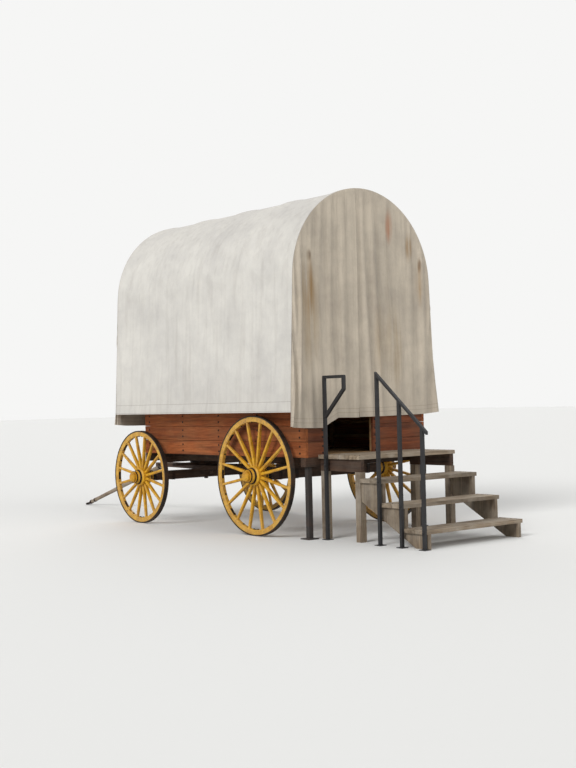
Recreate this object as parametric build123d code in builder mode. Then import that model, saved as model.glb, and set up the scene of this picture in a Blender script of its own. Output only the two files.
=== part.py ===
"""Covered wagon for camping: a board box on wooden running gear, under a bowed canvas cover.

Millimetres, +X forward, +Y to the left, +Z up. The origin lies on the ground, under the
middle of the whole length from the boarding steps to the tongue's ring.
"""
from build123d import *
from math import acos, asin, atan2, cos, degrees, hypot, pi, sin
import os

os.makedirs("parts", exist_ok=True)

# Clearances
running_clearance = 0.05
face_gap = 0.3
cloth_gap = 0.6
moving_gap = 5.0

# Wheels: spoked wood with an iron tyre
rear_wheel_diameter = 1220.0
front_wheel_diameter = 1060.0
wheelbase = 2130.0
wheel_track = 1840.0
tyre_width = 50.0
tyre_thickness = 12.0
felloe_depth = 50.0
felloe_width = 44.0
felloe_rounding = 7.0
felloe_saw_cut = 1.2
tyre_seat_gap = 0.9
felloe_segments = 8
spoke_count = 16
spoke_foot = (30.0, 44.0)
spoke_tip = (25.0, 32.0)
spoke_rounding = 9.0
wheel_dish = 20.0
hub_length = 240.0
hub_seat_radius = 98.0
hub_seat_width = 92.0
hub_end_radius = 64.0
hub_shoulder_radius = 84.0
hub_lip = 14.0

# Axles
axle_beam_width = 90.0
axle_beam_height = 100.0
spindle_radius = 28.0
collar_radius = 46.0
collar_length = 40.0
nut_radius = 40.0
nut_length = 24.0
end_play = 0.5

# Running gear
sill_width = 75.0
sill_height = 90.0
sill_spacing = 1000.0
bearer_width = 80.0
bolster_width = 110.0
bolster_length = 1200.0
rear_bolster_least_height = 50.0
front_bolster_least_height = 25.0
hound_height = 50.0
hound_width = 50.0
sand_board_height = 30.0
sand_board_length = 900.0
sand_board_width = 100.0
turntable_radius = 190.0
turntable_thickness = 10.0
reach_width = 80.0
reach_height = 40.0
reach_past_pin = 60.0
rear_hound_spread = 700.0
rear_hound_reach = 760.0
rear_hound_foot = 130.0
king_pin_radius = 14.0
king_head_radius = 22.0
king_head_height = 12.0
king_nut_radius = 24.0
king_nut_height = 18.0

# Front hounds, from the slider bar behind the axle to the jaws that hold the tongue
hound_rear_reach = 560.0
hound_rear_spread = 430.0
hound_bend_reach = 600.0
hound_front_reach = 960.0
slider_width = 60.0
slider_height = 34.0
slider_overhang = 40.0

# Tongue
pivot_reach = 880.0
pivot_pin_radius = 10.0
pivot_pin_overhang = 14.0
tongue_length = 2000.0
tongue_butt_radius = 30.0
tongue_end_radius = 23.0
tongue_behind_pivot = 60.0
jaw_gap = 6.0
ring_radius = 38.0
ring_hole_radius = 20.0
ring_thickness = 16.0
ring_socket_radius = 27.0
ring_socket_length = 70.0
ring_shank_width = 26.0

# Box of boards
box_rear_overhang = 700.0
box_front_overhang = 30.0
box_width = 1660.0
board_thickness = 30.0
board_count = 3
board_height = 153.0
board_gap = 3.0
board_chamfer = 2.0
floor_thickness = 25.0
floor_board_count = 14
cleat_width = 60.0
cleat_thickness = 25.0
side_cleat_count = 5
side_cleat_end = 90.0
front_cleat_spacing = 800.0
entry_left = 580.0
entry_right = -80.0
ledge_thickness = 30.0
front_tie_width = 60.0

# Canvas cover on its bows
cover_front_overhang = 340.0
cover_radius = 955.0
cover_flare = 60.0
cover_height = 2270.0
cover_hem_drop = 15.0
canvas_thickness = 5.0
bow_count = 5
bow_width = 50.0
bow_thickness = 22.0
purlin_angles = (42.0, 90.0, 138.0)
purlin_width = 44.0
purlin_thickness = 20.0
front_curtain_drop = 135.0
left_curtain_drop = 155.0
right_curtain_drop = 55.0
curtain_slit = 120.0
curtain_slit_gap = 12.0
flap_corner_outer = 580.0
flap_corner_inner = 385.0

# Steel legs under the rear corners
leg_tube = 50.0
leg_inset = 60.0
leg_foot = 130.0
leg_foot_thickness = 10.0

# Boarding steps behind the entry
step_width = 1340.0
step_rise = 217.0
step_run = 284.0
step_count = 3
landing_depth = 580.0
landing_boards = 4
tread_boards = 2
tread_thickness = 38.0
tread_gap = 6.0
stringer_thickness = 42.0
stringer_inset = 48.0
stringer_depth = 180.0
stringer_foot = 150.0
joist_height = 120.0
landing_leg = 70.0
landing_leg_inset = 20.0

# Black steel handrail on the left of the steps
rail_tube = 30.0
rail_top_above_landing = 775.0
rail_low_above_landing = 285.0
rail_end_overhang = 58.0
guard_post_place = 130.0
guard_bar_length = 280.0
guard_bar_drop = 120.0
guard_brace_drop = 394.0

# Heights worked out from the wheels up
rear_axle_height = rear_wheel_diameter / 2
front_axle_height = front_wheel_diameter / 2
rear_beam_top = rear_axle_height + axle_beam_height / 2
front_beam_top = front_axle_height + axle_beam_height / 2
sand_board_bottom = front_beam_top + hound_height
lower_plate_bottom = sand_board_bottom + sand_board_height
upper_plate_bottom = lower_plate_bottom + turntable_thickness + face_gap
front_bolster_bottom = upper_plate_bottom + turntable_thickness
sill_bottom = max(
    rear_beam_top + rear_bolster_least_height,
    front_bolster_bottom + front_bolster_least_height,
)
box_bottom = sill_bottom + sill_height
box_length = box_rear_overhang + wheelbase + box_front_overhang
cover_length = box_length + cover_front_overhang
board_pitch = board_height + board_gap
box_top = box_bottom + board_count * board_pitch - board_gap
floor_top = box_bottom + floor_thickness
ledge_top = box_top + ledge_thickness
hem_height = box_top - cover_hem_drop
spring_height = hem_height + cover_height - cover_radius
reach_bottom = front_beam_top + moving_gap

# Widths worked out from the box, the wheels and the steps
box_half = box_width / 2
inner_half = box_half - board_thickness
wheel_plane = wheel_track / 2
hub_middle = wheel_plane - wheel_dish
hub_inner_end = hub_middle - hub_length / 2
hub_outer_end = hub_middle + hub_length / 2
beam_half = hub_inner_end - end_play - collar_length
hub_bore_radius = spindle_radius + running_clearance
step_half = step_width / 2
stringer_middle = step_half - stringer_inset

# The tongue slopes down from its pivot until its ring touches the ground
pivot_height = front_beam_top + hound_height / 2
ring_far_edge = tongue_length + ring_radius
tongue_slope = asin(pivot_height / hypot(ring_far_edge, ring_thickness / 2)) - atan2(
    ring_thickness / 2, ring_far_edge
)

# Places along the wagon, first measured from the rear axle, then moved so that the
# whole length is centred on the origin
steps_reach = box_rear_overhang + landing_depth + step_count * step_run + rail_end_overhang
nose_reach = (
    wheelbase
    + pivot_reach
    + ring_far_edge * cos(tongue_slope)
    + ring_thickness / 2 * sin(tongue_slope)
)
rear_axle_x = (steps_reach - nose_reach) / 2
front_axle_x = rear_axle_x + wheelbase
box_rear_x = rear_axle_x - box_rear_overhang
box_front_x = box_rear_x + box_length
cover_rear_x = box_rear_x
cover_front_x = cover_rear_x + cover_length
pivot_x = front_axle_x + pivot_reach
landing_rear_x = box_rear_x - landing_depth

# The cover's legs lean out from its round top, and lean_angle is their slope
hem_half = cover_radius + cover_flare
lean_angle = atan2(hem_height - spring_height, hem_half) + acos(
    cover_radius / hypot(hem_half, spring_height - hem_height)
)


def arch_side(inset, height):
    """Half width of the cover's outline, moved in by inset, at a height on its leg."""
    radius = cover_radius - inset
    touch_height = spring_height + radius * sin(lean_angle)
    return radius * cos(lean_angle) + (touch_height - height) * sin(lean_angle) / cos(lean_angle)


def arch_face(inset, bottom, mode=Mode.ADD):
    """Face of the cover's outline, moved in by inset and cut off level at bottom."""
    radius = cover_radius - inset
    touch = (radius * cos(lean_angle), spring_height + radius * sin(lean_angle))
    foot = (arch_side(inset, bottom), bottom)
    with BuildLine() as outline:
        Line((-foot[0], bottom), (-touch[0], touch[1]))
        ThreePointArc((-touch[0], touch[1]), (0, spring_height + radius), touch)
        Line(touch, foot)
        Line(foot, (-foot[0], bottom))
    make_face(outline.edges(), mode=mode)


def side_plane(y):
    """Plane of the wagon's side view at y, with X to the right and Z up."""
    return Plane(origin=(0, y, 0), x_dir=(1, 0, 0), z_dir=(0, -1, 0))


# Floor boards lie across the sills
floor_rear_x = box_rear_x + board_thickness
floor_length = box_length - 2 * board_thickness
floor_board_pitch = (floor_length + board_gap) / floor_board_count
with BuildPart() as floor_boards:
    for number in range(floor_board_count):
        middle = floor_rear_x + (number + 0.5) * floor_board_pitch - board_gap / 2
        with BuildSketch(Plane.XY.offset(box_bottom)):
            with Locations((middle, 0)):
                Rectangle(floor_board_pitch - board_gap, 2 * inner_half)
        extrude(amount=floor_thickness)
floor_boards.part.label = "floor_boards"
export_step(floor_boards.part, "parts/floor_boards.step")

# Side boards, three high
for side_name, side in (("left", 1), ("right", -1)):
    with BuildPart() as side_boards:
        for number in range(board_count):
            with BuildSketch(Plane.XY.offset(box_bottom + number * board_pitch)):
                with Locations(((box_rear_x + box_front_x) / 2, side * (box_half - board_thickness / 2))):
                    Rectangle(box_length, board_thickness)
            extrude(amount=board_height)
        chamfer(side_boards.edges().filter_by(Axis.X), board_chamfer)
    side_boards.part.label = f"side_boards_{side_name}"
    export_step(side_boards.part, f"parts/side_boards_{side_name}.step")

# Front boards fill the width between the side boards
with BuildPart() as front_boards:
    for number in range(board_count):
        with BuildSketch(Plane.XY.offset(box_bottom + number * board_pitch)):
            with Locations((box_front_x - board_thickness / 2, 0)):
                Rectangle(board_thickness, 2 * inner_half)
        extrude(amount=board_height)
    chamfer(front_boards.edges().filter_by(Axis.Y), board_chamfer)
front_boards.part.label = "front_boards"
export_step(front_boards.part, "parts/front_boards.step")

# Rear boards stand on both sides of the entry
with BuildPart() as rear_boards:
    for low, high in ((-inner_half, entry_right), (entry_left, inner_half)):
        for number in range(board_count):
            with BuildSketch(Plane.XY.offset(box_bottom + number * board_pitch)):
                with Locations((box_rear_x + board_thickness / 2, (low + high) / 2)):
                    Rectangle(board_thickness, high - low)
            extrude(amount=board_height)
    chamfer(rear_boards.edges().filter_by(Axis.Y), board_chamfer)
rear_boards.part.label = "rear_boards"
export_step(rear_boards.part, "parts/rear_boards.step")

# Cleats inside the box hold the boards together
side_cleat_y = inner_half - cleat_thickness / 2
rear_cleat_x = box_rear_x + board_thickness + cleat_thickness / 2
front_cleat_x = box_front_x - board_thickness - cleat_thickness / 2
side_cleat_pitch = (box_length - 2 * side_cleat_end) / (side_cleat_count - 1)
with BuildPart() as cleats:
    with BuildSketch(Plane.XY.offset(floor_top)):
        for number in range(side_cleat_count):
            place = box_rear_x + side_cleat_end + number * side_cleat_pitch
            with Locations((place, side_cleat_y), (place, -side_cleat_y)):
                Rectangle(cleat_width, cleat_thickness)
        with Locations(
            (rear_cleat_x, entry_right - cleat_width / 2),
            (rear_cleat_x, entry_left + cleat_width / 2),
            (front_cleat_x, front_cleat_spacing / 2),
            (front_cleat_x, -front_cleat_spacing / 2),
        ):
            Rectangle(cleat_thickness, cleat_width)
    extrude(amount=box_top - floor_top)
cleats.part.label = "cleats"
export_step(cleats.part, "parts/cleats.step")

# Ledges on top of the side boards carry the bows out over the wheels
bow_inset = canvas_thickness + cloth_gap
ledge_inner = inner_half - cleat_thickness
ledge_outer = arch_side(bow_inset, ledge_top)
with BuildPart() as ledges:
    with BuildSketch(Plane.XY.offset(box_top)):
        with Locations(
            ((cover_rear_x + cover_front_x) / 2, (ledge_inner + ledge_outer) / 2),
            ((cover_rear_x + cover_front_x) / 2, -(ledge_inner + ledge_outer) / 2),
        ):
            Rectangle(cover_length, ledge_outer - ledge_inner)
    extrude(amount=ledge_thickness)
ledges.part.label = "ledges"
export_step(ledges.part, "parts/ledges.step")

# The front tie joins the two ledges where they stand out past the box
with BuildPart() as front_tie:
    with BuildSketch(Plane.XY.offset(box_top)):
        with Locations((cover_front_x - front_tie_width / 2, 0)):
            Rectangle(front_tie_width, 2 * ledge_inner)
    extrude(amount=ledge_thickness)
front_tie.part.label = "front_tie"
export_step(front_tie.part, "parts/front_tie.step")

# Bows of bent wood stand on the ledges
bow_pitch = (cover_length - bow_width) / (bow_count - 1)
with BuildPart() as bows:
    for number in range(bow_count):
        with BuildSketch(Plane.YZ.offset(cover_rear_x + number * bow_pitch)):
            arch_face(bow_inset, ledge_top)
            arch_face(bow_inset + bow_thickness, ledge_top, mode=Mode.SUBTRACT)
        extrude(amount=bow_width)
bows.part.label = "bows"
export_step(bows.part, "parts/bows.step")

# Purlins run the length of the cover, inside the bows
purlin_radius = cover_radius - bow_inset - bow_thickness - face_gap - purlin_thickness / 2
with BuildPart() as purlins:
    with BuildSketch(Plane.YZ.offset(cover_rear_x)):
        for angle in purlin_angles:
            direction = angle * pi / 180
            with Locations(
                (purlin_radius * cos(direction), spring_height + purlin_radius * sin(direction))
            ):
                Rectangle(purlin_thickness, purlin_width, rotation=angle)
    extrude(amount=cover_length)
purlins.part.label = "purlins"
export_step(purlins.part, "parts/purlins.step")

# Canvas cover, one sheet from hem to hem
with BuildPart() as canvas_cover:
    with BuildSketch(Plane.YZ.offset(cover_rear_x)):
        arch_face(0, hem_height)
        arch_face(canvas_thickness, hem_height, mode=Mode.SUBTRACT)
    extrude(amount=cover_length)
canvas_cover.part.label = "canvas_cover"
export_step(canvas_cover.part, "parts/canvas_cover.step")

# Front curtain closes the cover's front end and hangs below the hem
front_curtain_hem = box_top - front_curtain_drop
with BuildPart() as front_curtain:
    with BuildSketch(Plane.YZ.offset(cover_front_x + cloth_gap)):
        arch_face(0, front_curtain_hem)
    extrude(amount=canvas_thickness)
front_curtain.part.label = "front_curtain"
export_step(front_curtain.part, "parts/front_curtain.step")

# Rear curtain in two halves that meet at a slit, the left one hanging lower
curtain_plane = Plane.YZ.offset(cover_rear_x - cloth_gap - canvas_thickness)
left_hem = box_top - left_curtain_drop
right_hem = box_top - right_curtain_drop
with BuildPart() as rear_curtain_left:
    with BuildSketch(curtain_plane):
        arch_face(0, left_hem)
        with Locations((curtain_slit + curtain_slit_gap / 2, 0)):
            Rectangle(
                2 * cover_radius,
                spring_height + cover_radius,
                align=(Align.MAX, Align.MIN),
                mode=Mode.SUBTRACT,
            )
        with BuildLine():
            Polyline(
                (flap_corner_outer, left_hem),
                (flap_corner_inner, right_hem),
                (0, right_hem),
                (0, left_hem),
                close=True,
            )
        make_face(mode=Mode.SUBTRACT)
    extrude(amount=canvas_thickness)
rear_curtain_left.part.label = "rear_curtain_left"
export_step(rear_curtain_left.part, "parts/rear_curtain_left.step")

with BuildPart() as rear_curtain_right:
    with BuildSketch(curtain_plane):
        arch_face(0, right_hem)
        with Locations((curtain_slit - curtain_slit_gap / 2, 0)):
            Rectangle(
                2 * cover_radius,
                spring_height + cover_radius,
                align=(Align.MIN, Align.MIN),
                mode=Mode.SUBTRACT,
            )
    extrude(amount=canvas_thickness)
rear_curtain_right.part.label = "rear_curtain_right"
export_step(rear_curtain_right.part, "parts/rear_curtain_right.step")

# Sills run fore and aft under the floor, between the end bearers
sill_rear_x = box_rear_x + bearer_width
sill_front_x = box_front_x - bearer_width
with BuildPart() as sills:
    with BuildSketch(Plane.XY.offset(sill_bottom)):
        with Locations(
            ((sill_rear_x + sill_front_x) / 2, sill_spacing / 2),
            ((sill_rear_x + sill_front_x) / 2, -sill_spacing / 2),
        ):
            Rectangle(sill_front_x - sill_rear_x, sill_width)
    extrude(amount=sill_height)
sills.part.label = "sills"
export_step(sills.part, "parts/sills.step")

with BuildPart() as end_bearers:
    with BuildSketch(Plane.XY.offset(sill_bottom)):
        with Locations(
            (box_rear_x + bearer_width / 2, 0),
            (box_front_x - bearer_width / 2, 0),
        ):
            Rectangle(bearer_width, box_width)
    extrude(amount=sill_height)
end_bearers.part.label = "end_bearers"
export_step(end_bearers.part, "parts/end_bearers.step")

# Legs under the rear corners, each with its foot plate
leg_x = box_rear_x + bearer_width / 2
leg_y = box_half - leg_inset
with BuildPart() as rear_legs:
    with BuildSketch():
        with Locations((leg_x, leg_y), (leg_x, -leg_y)):
            Rectangle(leg_foot, leg_foot)
    extrude(amount=leg_foot_thickness)
    with BuildSketch(Plane.XY.offset(leg_foot_thickness)):
        with Locations((leg_x, leg_y), (leg_x, -leg_y)):
            Rectangle(leg_tube, leg_tube)
    extrude(amount=sill_bottom - leg_foot_thickness)
rear_legs.part.label = "rear_legs"
export_step(rear_legs.part, "parts/rear_legs.step")

# Rear axle: a beam, its bolster, and the hounds that brace it to the reach
with BuildPart() as rear_axle_beam:
    with BuildSketch(Plane.XY.offset(rear_axle_height - axle_beam_height / 2)):
        with Locations((rear_axle_x, 0)):
            Rectangle(axle_beam_width, 2 * beam_half)
    extrude(amount=axle_beam_height)
rear_axle_beam.part.label = "rear_axle_beam"
export_step(rear_axle_beam.part, "parts/rear_axle_beam.step")

with BuildPart() as rear_bolster:
    with BuildSketch(Plane.XY.offset(rear_beam_top)):
        with Locations((rear_axle_x, 0)):
            Rectangle(bolster_width, bolster_length)
    extrude(amount=sill_bottom - rear_beam_top)
rear_bolster.part.label = "rear_bolster"
export_step(rear_bolster.part, "parts/rear_bolster.step")

rear_beam_front_x = rear_axle_x + axle_beam_width / 2
reach_front_x = front_axle_x + reach_past_pin
with BuildPart() as reach_pole:
    with BuildSketch(Plane.XY.offset(reach_bottom)):
        with Locations(((rear_beam_front_x + reach_front_x) / 2, 0)):
            Rectangle(reach_front_x - rear_beam_front_x, reach_width)
        with Locations((front_axle_x, 0)):
            Circle(king_pin_radius + running_clearance, mode=Mode.SUBTRACT)
    extrude(amount=reach_height)
reach_pole.part.label = "reach_pole"
export_step(reach_pole.part, "parts/reach_pole.step")

with BuildPart() as rear_hounds:
    with BuildSketch(Plane.XY.offset(reach_bottom)):
        for side in (1, -1):
            with BuildLine():
                Polyline(
                    (rear_beam_front_x, side * (rear_hound_spread - hound_width) / 2),
                    (rear_axle_x + rear_hound_reach - rear_hound_foot, side * reach_width / 2),
                    (rear_axle_x + rear_hound_reach, side * reach_width / 2),
                    (rear_beam_front_x, side * (rear_hound_spread + hound_width) / 2),
                    close=True,
                )
            make_face()
    extrude(amount=reach_height)
rear_hounds.part.label = "rear_hounds"
export_step(rear_hounds.part, "parts/rear_hounds.step")

# Front bolster and upper turntable plate stay with the box
king_hole_radius = king_pin_radius + running_clearance
head_recess_radius = king_head_radius + face_gap
head_recess_depth = king_head_height + face_gap
with BuildPart() as front_bolster:
    with BuildSketch(Plane.XY.offset(front_bolster_bottom)):
        with Locations((front_axle_x, 0)):
            Rectangle(bolster_width, bolster_length)
            Circle(king_hole_radius, mode=Mode.SUBTRACT)
    extrude(amount=sill_bottom - front_bolster_bottom)
    with BuildSketch(Plane.XY.offset(sill_bottom - head_recess_depth)):
        with Locations((front_axle_x, 0)):
            Circle(head_recess_radius)
    extrude(amount=head_recess_depth, mode=Mode.SUBTRACT)
front_bolster.part.label = "front_bolster"
export_step(front_bolster.part, "parts/front_bolster.step")

with BuildPart() as turntable_upper:
    with BuildSketch(Plane.XY.offset(upper_plate_bottom)):
        with Locations((front_axle_x, 0)):
            Circle(turntable_radius)
            Circle(king_hole_radius, mode=Mode.SUBTRACT)
    extrude(amount=turntable_thickness)
turntable_upper.part.label = "turntable_upper"
export_step(turntable_upper.part, "parts/turntable_upper.step")

# King pin, headed in the bolster and nutted under the axle
king_nut_top = front_axle_height - axle_beam_height / 2 - face_gap
with BuildPart() as king_pin:
    with BuildSketch(Plane.XY.offset(king_nut_top - king_nut_height)):
        with Locations((front_axle_x, 0)):
            RegularPolygon(king_nut_radius, 6)
    extrude(amount=king_nut_height)
    with BuildSketch(Plane.XY.offset(king_nut_top)):
        with Locations((front_axle_x, 0)):
            Circle(king_pin_radius)
    extrude(amount=sill_bottom - face_gap - king_nut_top)
    with BuildSketch(Plane.XY.offset(sill_bottom - face_gap - king_head_height)):
        with Locations((front_axle_x, 0)):
            Circle(king_head_radius)
    extrude(amount=king_head_height)
king_pin.part.label = "king_pin"
export_step(king_pin.part, "parts/king_pin.step")

# Front carriage, which turns on the king pin
with BuildPart() as turntable_lower:
    with BuildSketch(Plane.XY.offset(lower_plate_bottom)):
        with Locations((front_axle_x, 0)):
            Circle(turntable_radius)
            Circle(king_hole_radius, mode=Mode.SUBTRACT)
    extrude(amount=turntable_thickness)
turntable_lower.part.label = "turntable_lower"
export_step(turntable_lower.part, "parts/turntable_lower.step")

with BuildPart() as sand_board:
    with BuildSketch(Plane.XY.offset(sand_board_bottom)):
        with Locations((front_axle_x, 0)):
            Rectangle(sand_board_width, sand_board_length)
            Circle(king_hole_radius, mode=Mode.SUBTRACT)
    extrude(amount=sand_board_height)
sand_board.part.label = "sand_board"
export_step(sand_board.part, "parts/sand_board.step")

with BuildPart() as front_axle_beam:
    with BuildSketch(Plane.XY.offset(front_axle_height - axle_beam_height / 2)):
        with Locations((front_axle_x, 0)):
            Rectangle(axle_beam_width, 2 * beam_half)
            Circle(king_hole_radius, mode=Mode.SUBTRACT)
    extrude(amount=axle_beam_height)
front_axle_beam.part.label = "front_axle_beam"
export_step(front_axle_beam.part, "parts/front_axle_beam.step")

# Front hounds converge to parallel jaws, drilled for the tongue's pin
jaw_inner = tongue_butt_radius + jaw_gap
with BuildPart() as front_hounds:
    with BuildSketch(Plane.XY.offset(front_beam_top)):
        for side in (1, -1):
            with BuildLine():
                Polyline(
                    (front_axle_x - hound_rear_reach, side * hound_rear_spread / 2),
                    (front_axle_x + hound_bend_reach, side * jaw_inner),
                    (front_axle_x + hound_front_reach, side * jaw_inner),
                    (front_axle_x + hound_front_reach, side * (jaw_inner + hound_width)),
                    (front_axle_x + hound_bend_reach, side * (jaw_inner + hound_width)),
                    (front_axle_x - hound_rear_reach, side * (hound_rear_spread / 2 + hound_width)),
                    close=True,
                )
            make_face()
    extrude(amount=hound_height)
    with BuildSketch(side_plane(0)):
        with Locations((pivot_x, pivot_height)):
            Circle(pivot_pin_radius + running_clearance)
    extrude(amount=hound_rear_spread, both=True, mode=Mode.SUBTRACT)
front_hounds.part.label = "front_hounds"
export_step(front_hounds.part, "parts/front_hounds.step")

# Slider bar ties the hounds' rear ends under the reach
with BuildPart() as slider_bar:
    with BuildSketch(Plane.XY.offset(front_beam_top - slider_height)):
        with Locations((front_axle_x - hound_rear_reach + slider_width / 2, 0)):
            Rectangle(slider_width, hound_rear_spread + 2 * (hound_width + slider_overhang))
    extrude(amount=slider_height)
slider_bar.part.label = "slider_bar"
export_step(slider_bar.part, "parts/slider_bar.step")

with BuildPart() as tongue_pin:
    with BuildSketch(side_plane(0)):
        with Locations((pivot_x, pivot_height)):
            Circle(pivot_pin_radius)
    extrude(amount=jaw_inner + hound_width + pivot_pin_overhang, both=True)
tongue_pin.part.label = "tongue_pin"
export_step(tongue_pin.part, "parts/tongue_pin.step")

# Tongue: a tapered round pole along its own sloping axis
tongue_direction = (cos(tongue_slope), 0, -sin(tongue_slope))
tongue_up = (sin(tongue_slope), 0, cos(tongue_slope))
tongue_plane = Plane(origin=(pivot_x, 0, pivot_height), x_dir=tongue_direction, z_dir=tongue_up)
tongue_axis = Axis((pivot_x, 0, pivot_height), tongue_direction)
socket_start = tongue_length - ring_radius - ring_socket_length
with BuildPart() as tongue_pole:
    with BuildSketch(tongue_plane):
        with BuildLine():
            Polyline(
                (-tongue_behind_pivot, 0),
                (-tongue_behind_pivot, tongue_butt_radius),
                (tongue_behind_pivot, tongue_butt_radius),
                (socket_start, tongue_end_radius),
                (socket_start, 0),
                close=True,
            )
        make_face()
    revolve(axis=tongue_axis)
    with BuildSketch(side_plane(0)):
        with Locations((pivot_x, pivot_height)):
            Circle(pivot_pin_radius + running_clearance)
    extrude(amount=2 * tongue_butt_radius, both=True, mode=Mode.SUBTRACT)
tongue_pole.part.label = "tongue_pole"
export_step(tongue_pole.part, "parts/tongue_pole.step")

# Hitch ring on a socket at the pole's end
with BuildPart() as hitch_ring:
    with BuildSketch(tongue_plane):
        with BuildLine():
            Polyline(
                (socket_start, 0),
                (socket_start, ring_socket_radius),
                (socket_start + ring_socket_length / 2, ring_socket_radius),
                (socket_start + ring_socket_length, ring_thickness / 2),
                (socket_start + ring_socket_length, 0),
                close=True,
            )
        make_face()
    revolve(axis=tongue_axis)
    with BuildSketch(tongue_plane.offset(-ring_thickness / 2)):
        with Locations((tongue_length, 0)):
            Circle(ring_radius)
        with Locations((tongue_length - ring_radius, 0)):
            Rectangle(2 * ring_radius - 2 * ring_hole_radius, ring_shank_width)
    extrude(amount=ring_thickness)
    with BuildSketch(tongue_plane):
        with Locations((tongue_length, 0)):
            Circle(ring_hole_radius)
    extrude(amount=ring_thickness, both=True, mode=Mode.SUBTRACT)
hitch_ring.part.label = "hitch_ring"
export_step(hitch_ring.part, "parts/hitch_ring.step")

# Iron spindles on the axle ends: collar, shaft and nut
# Columns: name, x, height
axles = (
    ("rear", rear_axle_x, rear_axle_height),
    ("front", front_axle_x, front_axle_height),
)
for axle_name, axle_x, axle_height in axles:
    with BuildPart() as spindles:
        for side in (1, -1):
            with BuildSketch(Plane(origin=(axle_x, 0, axle_height))):
                with BuildLine():
                    Polyline(
                        (0, side * beam_half),
                        (collar_radius, side * beam_half),
                        (collar_radius, side * (hub_inner_end - end_play)),
                        (spindle_radius, side * (hub_inner_end - end_play)),
                        (spindle_radius, side * (hub_outer_end + end_play)),
                        (nut_radius, side * (hub_outer_end + end_play)),
                        (nut_radius, side * (hub_outer_end + end_play + nut_length)),
                        (0, side * (hub_outer_end + end_play + nut_length)),
                        close=True,
                    )
                make_face()
            revolve(axis=Axis((axle_x, 0, axle_height), (0, 1, 0)))
    spindles.part.label = f"{axle_name}_axle_spindles"
    export_step(spindles.part, f"parts/{axle_name}_axle_spindles.step")

# Wheels: hub, spokes, felloes and tyre, on each end of both axles
# Columns: name, x, side, wheel diameter
wheels = (
    ("rear_wheel_left", rear_axle_x, 1, rear_wheel_diameter),
    ("rear_wheel_right", rear_axle_x, -1, rear_wheel_diameter),
    ("front_wheel_left", front_axle_x, 1, front_wheel_diameter),
    ("front_wheel_right", front_axle_x, -1, front_wheel_diameter),
)
for wheel_name, wheel_x, side, wheel_diameter in wheels:
    wheel_radius = wheel_diameter / 2
    wheel_middle = Vector(wheel_x, side * wheel_plane, wheel_radius)
    tyre_inner = wheel_radius - tyre_thickness
    felloe_outer = tyre_inner - tyre_seat_gap
    felloe_inner = felloe_outer - felloe_depth
    wheel_face = side_plane(side * wheel_plane)

    with BuildPart() as hub:
        with BuildSketch(Plane(origin=(wheel_x, side * hub_middle, wheel_radius))):
            with BuildLine():
                Polyline(
                    (hub_bore_radius, -hub_length / 2),
                    (hub_end_radius, -hub_length / 2),
                    (hub_end_radius, -hub_length / 2 + hub_lip),
                    (hub_shoulder_radius, -hub_seat_width / 2 - hub_lip),
                    (hub_seat_radius, -hub_seat_width / 2),
                    (hub_seat_radius, hub_seat_width / 2),
                    (hub_shoulder_radius, hub_seat_width / 2 + hub_lip),
                    (hub_end_radius, hub_length / 2 - hub_lip),
                    (hub_end_radius, hub_length / 2),
                    (hub_bore_radius, hub_length / 2),
                    close=True,
                )
            make_face()
        revolve(axis=Axis((wheel_x, 0, wheel_radius), (0, 1, 0)))
    hub.part.label = f"{wheel_name}_hub"
    export_step(hub.part, f"parts/{wheel_name}_hub.step")

    with BuildPart() as spokes:
        for number in range(spoke_count):
            angle = 2 * pi * (number + 0.5) / spoke_count
            radial = Vector(cos(angle), 0, sin(angle))
            foot = wheel_middle + radial * (hub_seat_radius + face_gap) + Vector(0, -side * wheel_dish, 0)
            tip = wheel_middle + radial * (felloe_inner - face_gap)
            for place, (breadth, depth) in ((foot, spoke_foot), (tip, spoke_tip)):
                with BuildSketch(Plane(origin=place, x_dir=(0, 1, 0), z_dir=radial)):
                    RectangleRounded(depth, breadth, spoke_rounding)
            loft()
    spokes.part.label = f"{wheel_name}_spokes"
    export_step(spokes.part, f"parts/{wheel_name}_spokes.step")

    with BuildPart() as felloes:
        with BuildSketch(wheel_face):
            with Locations((wheel_x, wheel_radius)):
                Circle(felloe_outer)
                Circle(felloe_inner, mode=Mode.SUBTRACT)
        extrude(amount=felloe_width / 2, both=True)
        inner_edges = felloes.edges().filter_by(GeomType.CIRCLE).group_by(SortBy.RADIUS)[0]
        fillet(inner_edges, felloe_rounding)
        with BuildSketch(wheel_face):
            with Locations((wheel_x, wheel_radius)):
                with PolarLocations(felloe_outer, felloe_segments):
                    Rectangle(2 * felloe_outer - felloe_inner, felloe_saw_cut)
        extrude(amount=felloe_width, both=True, mode=Mode.SUBTRACT)
    felloes.part.label = f"{wheel_name}_felloes"
    export_step(felloes.part, f"parts/{wheel_name}_felloes.step")

    with BuildPart() as tyre:
        with BuildSketch(wheel_face):
            with Locations((wheel_x, wheel_radius)):
                Circle(wheel_radius)
                Circle(tyre_inner, mode=Mode.SUBTRACT)
        extrude(amount=tyre_width / 2, both=True)
    tyre.part.label = f"{wheel_name}_tyre"
    export_step(tyre.part, f"parts/{wheel_name}_tyre.step")

# Boarding steps: a landing level with the floor, then treads down to the rear
landing_top = floor_top
landing_front_x = box_rear_x - face_gap
landing_board_depth = (landing_depth - face_gap - (landing_boards - 1) * tread_gap) / landing_boards
with BuildPart() as landing_deck:
    for number in range(landing_boards):
        middle = landing_front_x - landing_board_depth / 2 - number * (landing_board_depth + tread_gap)
        with BuildSketch(Plane.XY.offset(landing_top - tread_thickness)):
            with Locations((middle, 0)):
                Rectangle(landing_board_depth, step_width)
        extrude(amount=tread_thickness)
    chamfer(landing_deck.edges().filter_by(Axis.Y), board_chamfer)
landing_deck.part.label = "landing_deck"
export_step(landing_deck.part, "parts/landing_deck.step")

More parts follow.
